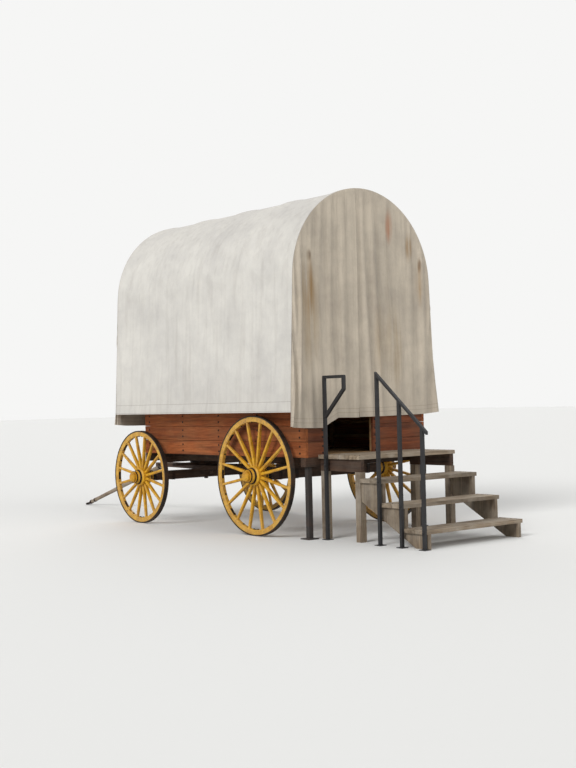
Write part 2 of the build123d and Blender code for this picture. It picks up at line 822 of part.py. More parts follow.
tread_board_depth = (step_run - tread_boards * tread_gap) / tread_boards
with BuildPart() as treads:
    for number in range(1, step_count + 1):
        tread_rear_x = landing_rear_x - number * step_run
        with BuildSketch(Plane.XY.offset(landing_top - number * step_rise - tread_thickness)):
            for board in range(tread_boards):
                with Locations(
                    (tread_rear_x + tread_board_depth / 2 + board * (tread_board_depth + tread_gap), 0)
                ):
                    Rectangle(tread_board_depth, step_width)
        extrude(amount=tread_thickness)
    chamfer(treads.edges().filter_by(Axis.Y), board_chamfer)
treads.part.label = "treads"
export_step(treads.part, "parts/treads.step")

# Landing joists on four legs
joist_top = landing_top - tread_thickness
joist_bottom = joist_top - joist_height
with BuildPart() as landing_joists:
    with BuildSketch(Plane.XY.offset(joist_bottom)):
        with Locations(
            ((landing_front_x + landing_rear_x) / 2, stringer_middle),
            ((landing_front_x + landing_rear_x) / 2, -stringer_middle),
        ):
            Rectangle(landing_front_x - landing_rear_x, stringer_thickness)
    extrude(amount=joist_height)
landing_joists.part.label = "landing_joists"
export_step(landing_joists.part, "parts/landing_joists.step")

leg_places = (
    landing_rear_x + landing_leg / 2,
    landing_front_x - landing_leg_inset - landing_leg / 2,
)
with BuildPart() as landing_legs:
    with BuildSketch():
        for place in leg_places:
            with Locations((place, stringer_middle), (place, -stringer_middle)):
                Rectangle(landing_leg, landing_leg)
    extrude(amount=joist_bottom)
landing_legs.part.label = "landing_legs"
export_step(landing_legs.part, "parts/landing_legs.step")

# Sawn stringers carry the treads
with BuildPart() as stringers:
    for side in (1, -1):
        saw_points = [(landing_rear_x, landing_top - step_rise - tread_thickness - stringer_depth)]
        for number in range(1, step_count + 1):
            seat = landing_top - number * step_rise - tread_thickness
            saw_points.append((landing_rear_x - (number - 1) * step_run, seat))
            saw_points.append((landing_rear_x - number * step_run, seat))
        foot_x = landing_rear_x - step_count * step_run
        saw_points += [(foot_x, 0), (foot_x + stringer_foot, 0)]
        with BuildSketch(side_plane(side * stringer_middle)):
            with BuildLine():
                Polyline(*saw_points, close=True)
            make_face()
        extrude(amount=stringer_thickness / 2, both=True)
stringers.part.label = "stringers"
export_step(stringers.part, "parts/stringers.step")

# Handrail posts stand at the treads' front edges, under one sloping rail
rail_middle = step_half + rail_tube / 2
rail_start_x = landing_rear_x - step_run
rail_start_height = landing_top + rail_top_above_landing
rail_low_x = landing_rear_x - step_count * step_run
rail_low_height = landing_top + rail_low_above_landing
rail_fall = (rail_start_height - rail_low_height) / (rail_start_x - rail_low_x)


def rail_height(x):
    """Height of the sloping rail's upper edge at x."""
    return rail_low_height + (x - rail_low_x) * rail_fall


rail_end_x = rail_low_x - rail_end_overhang
rail_front_x = rail_start_x + rail_tube / 2
with BuildPart() as stair_rail:
    with BuildSketch(side_plane(rail_middle)):
        with BuildLine():
            Polyline(
                (rail_front_x, rail_height(rail_front_x)),
                (rail_end_x, rail_height(rail_end_x)),
                (rail_end_x, rail_height(rail_end_x) - rail_tube),
                (rail_front_x, rail_height(rail_front_x) - rail_tube),
                close=True,
            )
        make_face()
        for number in range(1, step_count + 1):
            post_x = landing_rear_x - number * step_run
            with Locations((post_x, 0)):
                Rectangle(
                    rail_tube,
                    rail_height(post_x) - rail_tube / 2,
                    align=(Align.CENTER, Align.MIN),
                )
    extrude(amount=rail_tube / 2, both=True)
stair_rail.part.label = "stair_rail"
export_step(stair_rail.part, "parts/stair_rail.step")

# Guard loop beside the landing: post, level bar, short drop and slanting brace
guard_x = box_rear_x - guard_post_place
guard_end_x = guard_x - guard_bar_length
guard_top = rail_start_height - rail_tube / 2
guard_lines = (
    ((guard_x, 0), (guard_x, guard_top)),
    ((guard_x, guard_top), (guard_end_x, guard_top)),
    ((guard_end_x, guard_top), (guard_end_x, guard_top - guard_bar_drop)),
    ((guard_end_x, guard_top - guard_bar_drop), (guard_x, guard_top - guard_brace_drop)),
)
with BuildPart() as landing_guard:
    with BuildSketch(side_plane(rail_middle)):
        for start, end in guard_lines:
            length = hypot(end[0] - start[0], end[1] - start[1])
            turn = degrees(atan2(end[1] - start[1], end[0] - start[0]))
            with Locations(((start[0] + end[0]) / 2, (start[1] + end[1]) / 2)):
                Rectangle(length, rail_tube, rotation=turn)
        with Locations((guard_x, guard_top), (guard_end_x, guard_top), (guard_end_x, guard_top - guard_bar_drop)):
            Circle(rail_tube / 2)
    extrude(amount=rail_tube / 2, both=True)
landing_guard.part.label = "landing_guard"
export_step(landing_guard.part, "parts/landing_guard.step")

ring_middle = tongue_plane.from_local_coords((tongue_length, 0, 0))
print("rear axle x", round(rear_axle_x, 3), "front axle x", round(front_axle_x, 3))
print("tongue slope in degrees", round(degrees(tongue_slope), 4), "ring middle", ring_middle)
print("pivot", round(pivot_x, 3), round(pivot_height, 3), "wheel plane", wheel_plane)
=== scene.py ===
"""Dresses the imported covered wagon: canvas, curtains, iron fittings, finishes, light and camera."""

import logging
import math
from collections.abc import Callable
from dataclasses import dataclass, replace
from enum import Enum

import bmesh
import bpy
from bpy.types import Material, Modifier, Node, NodeSocket, NodeTree, Object
from mathutils import Matrix, Vector, noise


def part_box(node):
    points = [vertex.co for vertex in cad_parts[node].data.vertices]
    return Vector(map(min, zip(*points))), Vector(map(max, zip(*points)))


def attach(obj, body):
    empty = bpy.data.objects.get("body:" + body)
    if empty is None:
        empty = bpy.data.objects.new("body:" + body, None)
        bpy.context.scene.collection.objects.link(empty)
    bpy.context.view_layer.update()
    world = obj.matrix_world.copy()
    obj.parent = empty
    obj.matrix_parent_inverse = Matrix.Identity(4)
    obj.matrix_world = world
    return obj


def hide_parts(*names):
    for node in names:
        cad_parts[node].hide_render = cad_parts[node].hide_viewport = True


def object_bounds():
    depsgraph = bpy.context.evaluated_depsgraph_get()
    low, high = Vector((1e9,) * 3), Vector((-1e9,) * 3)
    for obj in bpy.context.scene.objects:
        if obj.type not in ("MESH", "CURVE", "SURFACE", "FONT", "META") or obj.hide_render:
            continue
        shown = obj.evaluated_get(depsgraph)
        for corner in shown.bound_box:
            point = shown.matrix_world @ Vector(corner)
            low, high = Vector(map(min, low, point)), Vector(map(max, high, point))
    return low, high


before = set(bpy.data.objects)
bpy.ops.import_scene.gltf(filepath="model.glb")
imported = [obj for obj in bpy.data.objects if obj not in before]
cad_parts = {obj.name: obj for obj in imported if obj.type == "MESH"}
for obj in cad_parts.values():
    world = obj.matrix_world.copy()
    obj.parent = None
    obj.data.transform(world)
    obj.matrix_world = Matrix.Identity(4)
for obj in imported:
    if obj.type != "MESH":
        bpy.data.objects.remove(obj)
cad_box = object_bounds()

log = logging.getLogger("wagon")

MM = 0.001
WAGON_BODY = "wagon_body"
FRONT_CARRIAGE = "front_carriage"
TONGUE = "tongue"
UP = Vector((0, 0, 1))

Triple = tuple[float, float, float]


class Grain(Enum):
    """Direction that a piece's wood grain runs in."""

    ALONG_X = (0.05, 1.0, 1.0)
    ALONG_Y = (1.0, 0.05, 1.0)
    ALONG_Z = (1.0, 1.0, 0.05)


# Colours, nodes and surfaces


def srgb(hex_colour: str) -> tuple[float, float, float, float]:
    """Turns an sRGB hex colour into linear red, green, blue and alpha.

    Args:
        hex_colour: six hex digits, such as "c8beac".

    Returns:
        Linear values from 0 to 1, with an alpha of 1.
    """
    parts = [int(hex_colour[place : place + 2], 16) / 255 for place in (0, 2, 4)]
    linear = [part / 12.92 if part <= 0.04045 else ((part + 0.055) / 1.055) ** 2.4 for part in parts]
    return (*linear, 1.0)


def plug(tree: NodeTree, node: Node, key: int | str, value: object) -> None:
    """Sets one input of a node to a value, or links it.

    Args:
        tree: the node's tree.
        node: the node.
        key: the input's number, or its name among the inputs in use.
        value: a value, an output socket, or a node that gives its first output in use.
    """
    if isinstance(key, int):
        socket = node.inputs[key]
    else:
        socket = next(place for place in node.inputs if place.enabled and place.name == key)
    if isinstance(value, Node):
        value = next(output for output in value.outputs if output.enabled)
    if isinstance(value, NodeSocket):
        tree.links.new(value, socket)
    else:
        socket.default_value = value


def add_node(
    tree: NodeTree, kind: str, inputs: dict[int | str, object] | None = None, **settings: object
) -> Node:
    """Adds a node with its settings and links.

    Args:
        tree: node tree that gets the node.
        kind: the node's type name without its leading "ShaderNode".
        inputs: the node's inputs, as plug() takes them.
        settings: the node's own properties.

    Returns:
        The new node.
    """
    node = tree.nodes.new(f"ShaderNode{kind}")
    for name, value in settings.items():
        setattr(node, name, value)
    for key, value in (inputs or {}).items():
        plug(tree, node, key, value)
    return node


def fineness(size_mm: float) -> float:
    """Scale of a noise whose patches have a size in millimetres."""
    return 1 / (size_mm * MM)


def span(low: float, high: float, first: float = 0.0, last: float = 1.0) -> dict[str, float]:
    """Names the ends of a range that a pattern has, and the values that it is to give there."""
    return {"From Min": low, "From Max": high, "To Min": first, "To Max": last}


class Surface:
    """A material in the making: its node tree, its shader and the place of each point."""

    def __init__(self, name: str) -> None:
        """Starts the material with an empty Principled shader on its output.

        Args:
            name: the material's name.
        """
        self.material = bpy.data.materials.new(name)
        self.material.use_nodes = True
        self.tree = self.material.node_tree
        self.tree.nodes.clear()
        self.shader = self.add("BsdfPrincipled")
        self.add("OutputMaterial", {"Surface": self.shader})
        self.place = self.add("TexCoord").outputs["Object"]

    def add(self, kind: str, inputs: dict[int | str, object] | None = None, **settings: object) -> Node:
        """Adds a node to this material, as add_node() does."""
        return add_node(self.tree, kind, inputs, **settings)

    def tint(
        self,
        under: object,
        colour: str,
        pattern: object,
        low: float,
        high: float,
        most: float = 1.0,
        times: object = None,
    ) -> Node:
        """Lays a colour over another where a pattern is strong.

        Args:
            under: the colour underneath.
            colour: the sRGB hex colour on top.
            pattern: what decides where it lies.
            low: the pattern's value up to which none of it lies there.
            high: the value from which most of it does.
            most: its greatest share.
            times: another pattern that the share is multiplied by.

        Returns:
            The node with the new colour.
        """
        share = self.add("MapRange", {"Value": pattern, **span(low, high, 0.0, most)})
        if times is not None:
            share = self.add("Math", {0: share, 1: times}, operation="MULTIPLY")
        return self.add("Mix", {"Factor": share, "A": under, "B": srgb(colour)}, data_type="RGBA")

    def finish(self, sockets: dict[str, object]) -> Material:
        """Gives the shader its values and links.

        Args:
            sockets: the shader's inputs, as plug() takes them.

        Returns:
            The finished material.
        """
        for key, value in sockets.items():
            plug(self.tree, self.shader, key, value)
        return self.material


# Finishes


@dataclass(frozen=True)
class Timber:
    """Sawn wood, bare or stained: fibres show as fine streaks along each board.

    Boards differ a little in tone, and weather turns the raised grain grey. The saw leaves fibres of
    about 1 mm, and they are drawn as streaks of 9 mm so that they show from the photo's distance.
    The boards are board_mm wide and counted along board_axis, where 0 is x, from board_from in metres.
    """

    name: str
    fibre: str
    shade: str
    weathered: str
    weather_share: float = 0.35
    grain: Grain = Grain.ALONG_X
    streak_mm: float = 9.0
    patch_mm: float = 222.2
    board_axis: int = 2
    board_mm: float = 156.0
    board_from: float = 0.8
    tone_spread: float = 0.35
    roughness: float = 0.75
    gloss: float = 0.3
    bump_mm: float = 0.8

    def build(self) -> Material:
        """Makes the material.

        Returns:
            The material.
        """
        s = Surface(self.name)

        # One number for each board gives it its own tone and shifts its grain
        across = s.add("SeparateXYZ", {0: s.place}).outputs[self.board_axis]
        counted = s.add("Math", {0: across, 1: self.board_from}, operation="SUBTRACT")
        divided = s.add("Math", {0: counted, 1: self.board_mm * MM}, operation="DIVIDE")
        board = s.add("Math", {0: divided}, operation="FLOOR")
        tone = s.add("TexWhiteNoise", {"W": board}, noise_dimensions="1D")
        shifted = s.add("VectorMath", {0: s.place, 1: tone.outputs["Color"]}, operation="ADD")

        # Fibres are stretched along the board, and annual bands are wider and softer
        stretched = s.add("Mapping", {"Vector": shifted, "Scale": self.grain.value})
        fine = fineness(self.streak_mm)
        broad = 0.22 * fine
        fibres = s.add("TexNoise", {"Vector": stretched, "Scale": fine, "Detail": 8.0, "Roughness": 0.7})
        bands = s.add("TexNoise", {"Vector": stretched, "Scale": broad, "Detail": 3.0, "Distortion": 0.6})
        wide = fineness(self.patch_mm)
        patches = s.add("TexNoise", {"Vector": shifted, "Scale": wide, "Detail": 5.0, "Roughness": 0.6})
        wood = s.tint(srgb(self.shade), self.fibre, bands, 0.34, 0.66)
        streaks = s.add("MapRange", {"Value": fibres, **span(0.4, 0.62, 0.72, 1.12)})
        multiply = {"data_type": "RGBA", "blend_type": "MULTIPLY"}
        streaked = s.add("Mix", {"Factor": 1.0, "A": wood, "B": streaks}, **multiply)
        worn = s.tint(streaked, self.weathered, patches, 0.42, 0.68, self.weather_share)
        half = self.tone_spread / 2
        level = s.add("MapRange", {"Value": tone, **span(0.0, 1.0, 1.0 - half, 1.0 + half)})
        toned = s.add("Mix", {"Factor": 1.0, "A": worn, "B": level}, **multiply)
        dull, bright = self.roughness + 0.12, self.roughness - 0.08
        rough = s.add("MapRange", {"Value": fibres, **span(0.35, 0.65, dull, bright)})
        relief = s.add("Bump", {"Height": fibres, "Strength": 0.7, "Distance": self.bump_mm * MM})
        return s.finish(
            {"Base Color": toned, "Roughness": rough, "Normal": relief, "Specular IOR Level": self.gloss}
        )


@dataclass(frozen=True)
class WheelPaint:
    """Oil paint brushed on oak wheels: a satin yellow skin, chipped and dusty towards the rim.

    brush_mm is how far the brush's thick and thin patches lie apart, chip_mm the chips and dust_mm
    the dusty patches.
    """

    name: str
    centre: Triple
    rim_radius: float
    paint: str = "d3a01e"
    deep: str = "a87511"
    bare: str = "6f5636"
    dust: str = "b8a27c"
    roughness: float = 0.48
    brush_mm: float = 71.43
    chip_mm: float = 21.74
    dust_mm: float = 142.9

    def build(self) -> Material:
        """Makes the material.

        Returns:
            The material.
        """
        s = Surface(self.name)
        rim = self.rim_radius
        centred = s.add("Mapping", {"Vector": s.place, "Location": tuple(-part for part in self.centre)})
        flat = s.add("VectorMath", {0: centred, 1: (1.0, 0.0, 1.0)}, operation="MULTIPLY")
        radius = s.add("VectorMath", {0: flat}, operation="LENGTH")
        fine = fineness(self.brush_mm)
        brushed = s.add("TexNoise", {"Vector": centred, "Scale": fine, "Detail": 6.0, "Roughness": 0.65})
        paint = s.tint(srgb(self.deep), self.paint, brushed, 0.36, 0.64)

        # Chips show bare wood, more of them towards the rim
        fine = fineness(self.chip_mm)
        speckle = s.add("TexNoise", {"Vector": centred, "Scale": fine, "Detail": 4.0, "Roughness": 0.7})
        outward = s.add("MapRange", {"Value": radius, **span(0.3 * rim, rim, 0.69, 0.60)})
        chip = s.add("Math", {0: speckle, 1: outward}, operation="GREATER_THAN")
        chipped = s.add("Mix", {"Factor": chip, "A": paint, "B": srgb(self.bare)}, data_type="RGBA")
        patches = s.add("TexNoise", {"Vector": centred, "Scale": fineness(self.dust_mm), "Detail": 4.0})
        dusted = s.tint(chipped, self.dust, radius, 0.55 * rim, rim, 0.4, patches)
        bright, dull = self.roughness - 0.1, self.roughness + 0.25
        rough = s.add("MapRange", {"Value": brushed, **span(0.0, 1.0, bright, dull)})
        relief = s.add("Bump", {"Height": speckle, "Strength": 0.35, "Distance": 0.4 * MM})
        return s.finish({"Base Color": dusted, "Roughness": rough, "Normal": relief})


@dataclass(frozen=True)
class Iron:
    """Forged or painted iron: dark scale with rust in broad patches, duller where it rusts."""

    name: str
    metal: str
    rust: str
    rust_share: float
    metallic: float
    roughness: float
    patch_mm: float = 60.0

    def build(self) -> Material:
        """Makes the material.

        Returns:
            The material.
        """
        s = Surface(self.name)
        fine = fineness(self.patch_mm)
        patches = s.add("TexNoise", {"Vector": s.place, "Scale": fine, "Detail": 7.0, "Roughness": 0.68})
        colour = s.tint(srgb(self.metal), self.rust, patches, 0.46, 0.66, self.rust_share)
        dull = min(1.0, self.roughness + 0.35)
        rough = s.add("MapRange", {"Value": patches, **span(0.35, 0.7, self.roughness, dull)})
        relief = s.add("Bump", {"Height": patches, "Strength": 0.4, "Distance": 0.5 * MM})
        sockets = {"Base Color": colour, "Metallic": self.metallic, "Roughness": rough, "Normal": relief}
        return s.finish(sockets)


@dataclass(frozen=True)
class Stain:
    """A brown run of rainwater on a cloth, with its middle in y and its top and bottom in z."""

    y: float
    top: float
    bottom: float
    half_width: float
    strength: float
    colour: str


@dataclass(frozen=True)
class Canvas:
    """Heavy woven cotton duck: matt, with a visible weave, rain streaks and old water stains.

    The UV map "cloth" is the flat cut in metres, and its V counts from the hem. The real threads are
    about 1 mm apart, and the weave is drawn with threads of 6 mm so that it shows. wrinkle_mm is how
    far the pulled wrinkles lie apart across the cloth and up it. girth is the length between two hems,
    and its default is longer than any curtain, which has one hem.
    """

    name: str
    cloth: str
    faded: str
    soil: str = "7d7063"
    roughness: float = 0.92
    gloss: float = 0.25
    sheen: float = 0.12
    sheen_roughness: float = 0.6
    thread_mm: float = 6.0
    crumple_mm: float = 90.91
    wrinkle_mm: tuple[float, float] = (111.1, 909.1)
    patch_mm: float = 434.8
    streak_mm: float = 60.0
    streak_share: float = 0.35
    hem_z: float = 1.25
    soil_height: float = 0.5
    hem_soil: float = 0.22
    ridge_shade: float = 0.0
    girth: float = 20.0
    stitch_lines: tuple[float, ...] = ()
    stitch_width: float = 0.006
    stitch_share: float = 0.4
    stains: tuple[Stain, ...] = ()

    def build(self) -> Material:
        """Makes the material.

        Returns:
            The material.
        """
        s = Surface(self.name)
        cloth_map = s.add("UVMap", uv_map="cloth")
        colour = self.weather(s)
        colour = self.stitch(s, colour, cloth_map)
        return s.finish(
            {
                "Base Color": colour,
                "Normal": self.crease(s, cloth_map),
                "Roughness": self.roughness,
                "Sheen Weight": self.sheen,
                "Sheen Roughness": self.sheen_roughness,
                "Specular IOR Level": self.gloss,
            }
        )

    def weather(self, s: Surface) -> Node:
        """Paints the cloth's broad tone, its rain streaks, its dust, painted shade along the ridge and its
        stains.

        Args:
            s: the material in the making.

        Returns:
            The node with the weathered colour.
        """
        wide = fineness(self.patch_mm)
        patches = s.add("TexNoise", {"Vector": s.place, "Scale": wide, "Detail": 8.0, "Roughness": 0.7})
        colour = s.tint(srgb(self.faded), self.cloth, patches, 0.3, 0.62)
        across = fineness(self.streak_mm)
        hanging = s.add("Mapping", {"Vector": s.place, "Scale": (across, across, 0.05 * across)})
        streaks = s.add("TexNoise", {"Vector": hanging, "Scale": 1.0, "Detail": 5.0, "Roughness": 0.6})
        colour = s.tint(colour, self.soil, streaks, 0.48, 0.78, self.streak_share)

        # Dust rises from the hem, and painted shade in the soil colour darkens the ridge
        height = s.add("SeparateXYZ", {0: s.place}).outputs["Z"]
        ridge = cad_box[1].z
        for near, far, most in (
            (self.hem_z, self.hem_z + self.soil_height, self.hem_soil),
            (ridge, ridge - self.soil_height, self.ridge_shade),
        ):
            colour = s.tint(colour, self.soil, height, far, near, most, patches)

        # Each stain is an oval, strongest at its middle and broken up by the streaks
        for run in self.stains:
            half_height = (run.top - run.bottom) / 2
            scale = (0.0, 1 / run.half_width, 1 / half_height)
            middle = (0.0, -run.y * scale[1], -(run.bottom + half_height) * scale[2])
            spot = s.add("Mapping", {"Vector": s.place, "Location": middle, "Scale": scale})
            reach = s.add("VectorMath", {0: spot}, operation="LENGTH")
            inside = s.add("MapRange", {"Value": reach, **span(1.0, 0.2)}, interpolation_type="SMOOTHSTEP")
            colour = s.tint(colour, run.colour, streaks, 0.3, 0.6, run.strength, inside)
        return colour

    def stitch(self, s: Surface, colour: Node, cloth_map: Node) -> Node:
        """Draws thin dark lines of stitches at fixed distances from the hem.

        Args:
            s: the material in the making.
            colour: node with the cloth's colour.
            cloth_map: node with the place on the flat cut.

        Returns:
            The node with the stitched colour.
        """
        cut = s.add("SeparateXYZ", {0: cloth_map})
        from_hem = s.add("Math", {0: cut.outputs["Y"], 1: self.girth / 2}, operation="PINGPONG")
        stitched = 0.0
        for far in self.stitch_lines:
            line = s.add("Math", {0: from_hem, 1: far, 2: self.stitch_width / 2}, operation="COMPARE")
            stitched = s.add("Math", {0: stitched, 1: line}, operation="MAXIMUM")
        share = s.add("Math", {0: stitched, 1: self.stitch_share}, operation="MULTIPLY")
        return s.add("Mix", {"Factor": share, "A": colour, "B": srgb(self.soil)}, data_type="RGBA")

    def crease(self, s: Surface, cloth_map: Node) -> Node:
        """Dents the cloth with drawn wrinkles, small creases and its weave.

        Args:
            s: the material in the making.
            cloth_map: node with the place on the flat cut.

        Returns:
            The node with the dented normal.
        """
        # A wave texture of scale 1 has a band every 0.314 m
        thread = 0.314 * fineness(self.thread_mm)
        warp, weft = (
            s.add(
                "TexWave",
                {"Vector": cloth_map, "Scale": thread, "Distortion": 0.25, "Detail": 1.0},
                bands_direction=direction,
            ).outputs["Fac"]
            for direction in ("X", "Y")
        )
        weave = s.add("Math", {0: warp, 1: weft}, operation="ADD")
        fine = fineness(self.crumple_mm)
        crumple = s.add("TexNoise", {"Vector": s.place, "Scale": fine, "Detail": 5.0, "Roughness": 0.55})
        across, up = (fineness(size) for size in self.wrinkle_mm)
        drawn = s.add("Mapping", {"Vector": s.place, "Scale": (across, across, up)})
        wrinkles = s.add("TexNoise", {"Vector": drawn, "Scale": 1.0, "Detail": 3.0, "Distortion": 0.8})
        normal = s.add("Bump", {"Height": wrinkles, "Strength": 0.6, "Distance": 14.0 * MM})
        for height, strength, depth in ((crumple, 0.4, 7.0), (weave, 0.25, 0.6)):
            dent = {"Height": height, "Strength": strength, "Distance": depth * MM, "Normal": normal}
            normal = s.add("Bump", dent)
        return normal


# Modelling helpers

SHARP_EDGE = math.radians(40)
FACING = 0.9
RING_IRON = 0.003
RING_BEVEL = 0.0008


def limited(value: float) -> float:
    """Keeps a value between 0 and 1."""
    return min(1.0, max(0.0, value))


def wave(turns: float) -> float:
    """Height from 0 to 1 of a wave that has gone through a number of turns."""
    return 0.5 + 0.5 * math.sin(2 * math.pi * turns)


def clear_selection() -> None:
    """Leaves edit mode and deselects every object."""
    if bpy.context.object and bpy.context.object.mode == "EDIT":
        bpy.ops.object.mode_set(mode="OBJECT")
    bpy.ops.object.select_all(action="DESELECT")


def select_only(pieces: list[Object]) -> None:
    """Selects some pieces and nothing else, and makes the first of them active.

    Args:
        pieces: the pieces.
    """
    clear_selection()
    for piece in pieces:
        piece.select_set(True)
    bpy.context.view_layer.objects.active = pieces[0]


def select_faces(test: Callable[[Vector, Vector], bool]) -> None:
    """Goes into edit mode and selects the faces of the active piece that pass a test.

    Args:
        test: called with each face's middle and normal, in the piece's own space.
    """
    bpy.ops.object.mode_set(mode="EDIT")
    bpy.ops.mesh.select_mode(type="FACE")
    bpy.ops.mesh.select_all(action="DESELECT")
    mesh = bmesh.from_edit_mesh(bpy.context.edit_object.data)
    for face in [face for face in mesh.faces if test(face.calc_center_median(), face.normal)]:
        face.select_set(True)
    mesh.select_flush_mode()
    bmesh.update_edit_mesh(bpy.context.edit_object.data)


def raise_top(inset: float, lift: float) -> None:
    """Draws in the top face of the active piece, lifts it and leaves edit mode.

    Args:
        inset: how far the face is drawn in.
        lift: how far it is lifted.
    """
    select_faces(lambda middle, normal: normal.z > FACING)
    bpy.ops.mesh.inset(thickness=inset)
    bpy.ops.transform.translate(value=(0, 0, lift))
    bpy.ops.object.mode_set(mode="OBJECT")


def apply_modifier(piece: Object, modifier: Modifier) -> None:
    """Applies one modifier of a piece."""
    select_only([piece])
    bpy.ops.object.modifier_apply(modifier=modifier.name)


def modify(piece: Object, kind: str, **settings: object) -> None:
    """Adds a modifier to a piece and applies it.

    Args:
        piece: the piece.
        kind: the modifier's type.
        settings: the modifier's own properties.
    """
    modifier = piece.modifiers.new(kind.lower(), kind)
    for name, value in settings.items():
        setattr(modifier, name, value)
    apply_modifier(piece, modifier)


def bevel_edges(piece: Object, width: float, segments: int = 1) -> None:
    """Rounds a piece's sharp edges, with a number of faces across."""
    modify(piece, "BEVEL", width=width, segments=segments, limit_method="ANGLE", angle_limit=SHARP_EDGE)


def bake_place(piece: Object) -> None:
    """Moves a piece's place into its mesh, so that its object sits at the origin.

    Args:
        piece: the piece.
    """
    bpy.context.view_layer.update()
    piece.data.transform(piece.matrix_world)
    piece.matrix_world = Matrix.Identity(4)


def add_block(middle: Triple, size: Triple) -> Object:
    """Adds a block.

    Args:
        middle: its middle.
        size: its lengths along x, y and z.

    Returns:
        The block, with its place in its mesh.
    """
    clear_selection()
    bpy.ops.mesh.primitive_cube_add(size=1, location=middle)
    block = bpy.context.object
    block.scale = size
    bake_place(block)
    return block


def add_round(
    sides: int, radius: float, depth: float, middle: Triple, turned: Triple = (0, 0, 0)
) -> Object:
    """Adds a cylinder with closed ends.

    Args:
        sides: how many faces it has round it.
        radius: its radius.
        depth: its length.
        middle: its middle.
        turned: its turns about x, y and z.

    Returns:
        The cylinder.
    """
    clear_selection()
    bpy.ops.mesh.primitive_cylinder_add(
        vertices=sides, radius=radius, depth=depth, location=middle, rotation=turned
    )
    return bpy.context.object


def add_ring(
    sides: int, near: float, far: float, width: float, middle: Triple, turned: Triple
) -> Object:
    """Adds an iron ring, which gets its wall outwards.

    Args:
        sides: how many faces it has round it.
        near: inner radius at the end that starts it.
        far: inner radius at its other end.
        width: its width.
        middle: its middle.
        turned: its turns about x, y and z.

    Returns:
        The ring.
    """
    clear_selection()
    bpy.ops.mesh.primitive_cone_add(
        vertices=sides,
        radius1=near,
        radius2=far,
        depth=width,
        end_fill_type="NOTHING",
        location=middle,
        rotation=turned,
    )
    ring = bpy.context.object
    modify(ring, "SOLIDIFY", thickness=RING_IRON, offset=1)
    bevel_edges(ring, RING_BEVEL)
    return ring


def copy_to(piece: Object, placing: Matrix) -> Object:
    """Copies a piece with its own mesh.

    Args:
        piece: the piece to copy, at the origin.
        placing: where the copy goes.

    Returns:
        The copy.
    """
    twin = piece.copy()
    twin.data = piece.data.copy()
    bpy.context.collection.objects.link(twin)
    twin.matrix_world = placing
    return twin


def join_pieces(name: str, parts: list[Object]) -> Object:
    """Joins pieces into one at the origin.

    Args:
        name: the joined piece's name.
        parts: the pieces to join.

    Returns:
        The joined piece.
    """
    for part in parts:
        bake_place(part)
    select_only(parts)
    bpy.ops.object.join()
    joined = bpy.context.object
    joined.name = name
    joined.data.name = name
    return joined


def dress(piece: Object, finish: Material, body: str, smooth_degrees: float = 40.0) -> None:
    """Gives a finished piece its material, its smooth shading and the body that it rides on.

    Args:
        piece: the piece, at the origin.
        finish: its material.
        body: the body that it moves with.
        smooth_degrees: edges sharper than this stay crisp.
    """
    piece.data.materials.clear()
    piece.data.materials.append(finish)
    select_only([piece])
    bpy.ops.object.shade_smooth_by_angle(angle=math.radians(smooth_degrees))
    clear_selection()
    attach(piece, body)
    log.info("%s rides on %s with %d faces", piece.name, body, len(piece.data.polygons))


# Cloth

DOUBLED_CLOTH = 0.0026
SINGLE_SHARE = 0.55
CLOTH_SMOOTH = 60


@dataclass(frozen=True)
class Arch:
    """The cover's end outline: a round top on two legs that lean out to the hem."""

    radius: float = 0.955
    flare: float = 0.060
    height: float = 2.270
    hem: float = 1.250

    @property
    def spring(self) -> float:
        """Height of the round top's centre."""
        return self.hem + self.height - self.radius

    @property
    def lean(self) -> float:
        """Angle of the legs from upright.

        Returns:
            The angle in radians.
        """
        foot = self.radius + self.flare
        drop = self.hem - self.spring
        return math.atan2(drop, foot) + math.acos(self.radius / math.hypot(foot, drop))

    @property
    def leg(self) -> float:
        """Length of a leg from its hem up to the round top."""
        return (self.spring + self.radius * math.sin(self.lean) - self.hem) / math.cos(self.lean)

    @property
    def girth(self) -> float:
        """Length of the outline from hem to hem."""
        return 2 * self.leg + self.radius * (math.pi - 2 * self.lean)

    def side(self, height: float, inset: float = 0.0) -> float:
        """Half width of the outline at a height on its leg.

        Args:
            height: the height.
            inset: how far the outline is moved in.

        Returns:
            The half width.
        """
        radius = self.radius - inset
        touch = self.spring + radius * math.sin(self.lean)
        return radius * math.cos(self.lean) + (touch - height) * math.tan(self.lean)

    def point(self, along: float) -> tuple[Vector, Vector]:
        """Place and outward direction at a length along the outline.

        Args:
            along: length from the left hem, over the top, towards the right hem.

        Returns:
            The place and the outward normal, both with x at 0.
        """
        from_hem = min(along, self.girth - along)
        if from_hem < self.leg:
            side = 1 if along == from_hem else -1
            height = self.hem + from_hem * math.cos(self.lean)
            out = Vector((0, side * math.cos(self.lean), math.sin(self.lean)))
            return Vector((0, side * self.side(height), height)), out
        angle = self.lean + (along - self.leg) / self.radius
        out = Vector((0, math.cos(angle), math.sin(angle)))
        return Vector((0, self.radius * out.y, self.spring + self.radius * out.z)), out


@dataclass(frozen=True)
class Unevenness:
    """Smooth noise over a cloth: how strong it is, how fast it changes each way, and its own layer."""

    amount: float
    across: float
    up: float
    layer: float

    def at(self, across: float, up: float, seed: float = 0.0) -> float:
        """Its value at a place on the cloth."""
        return self.amount * noise.noise(Vector((across * self.across, up * self.up, seed + self.layer)))


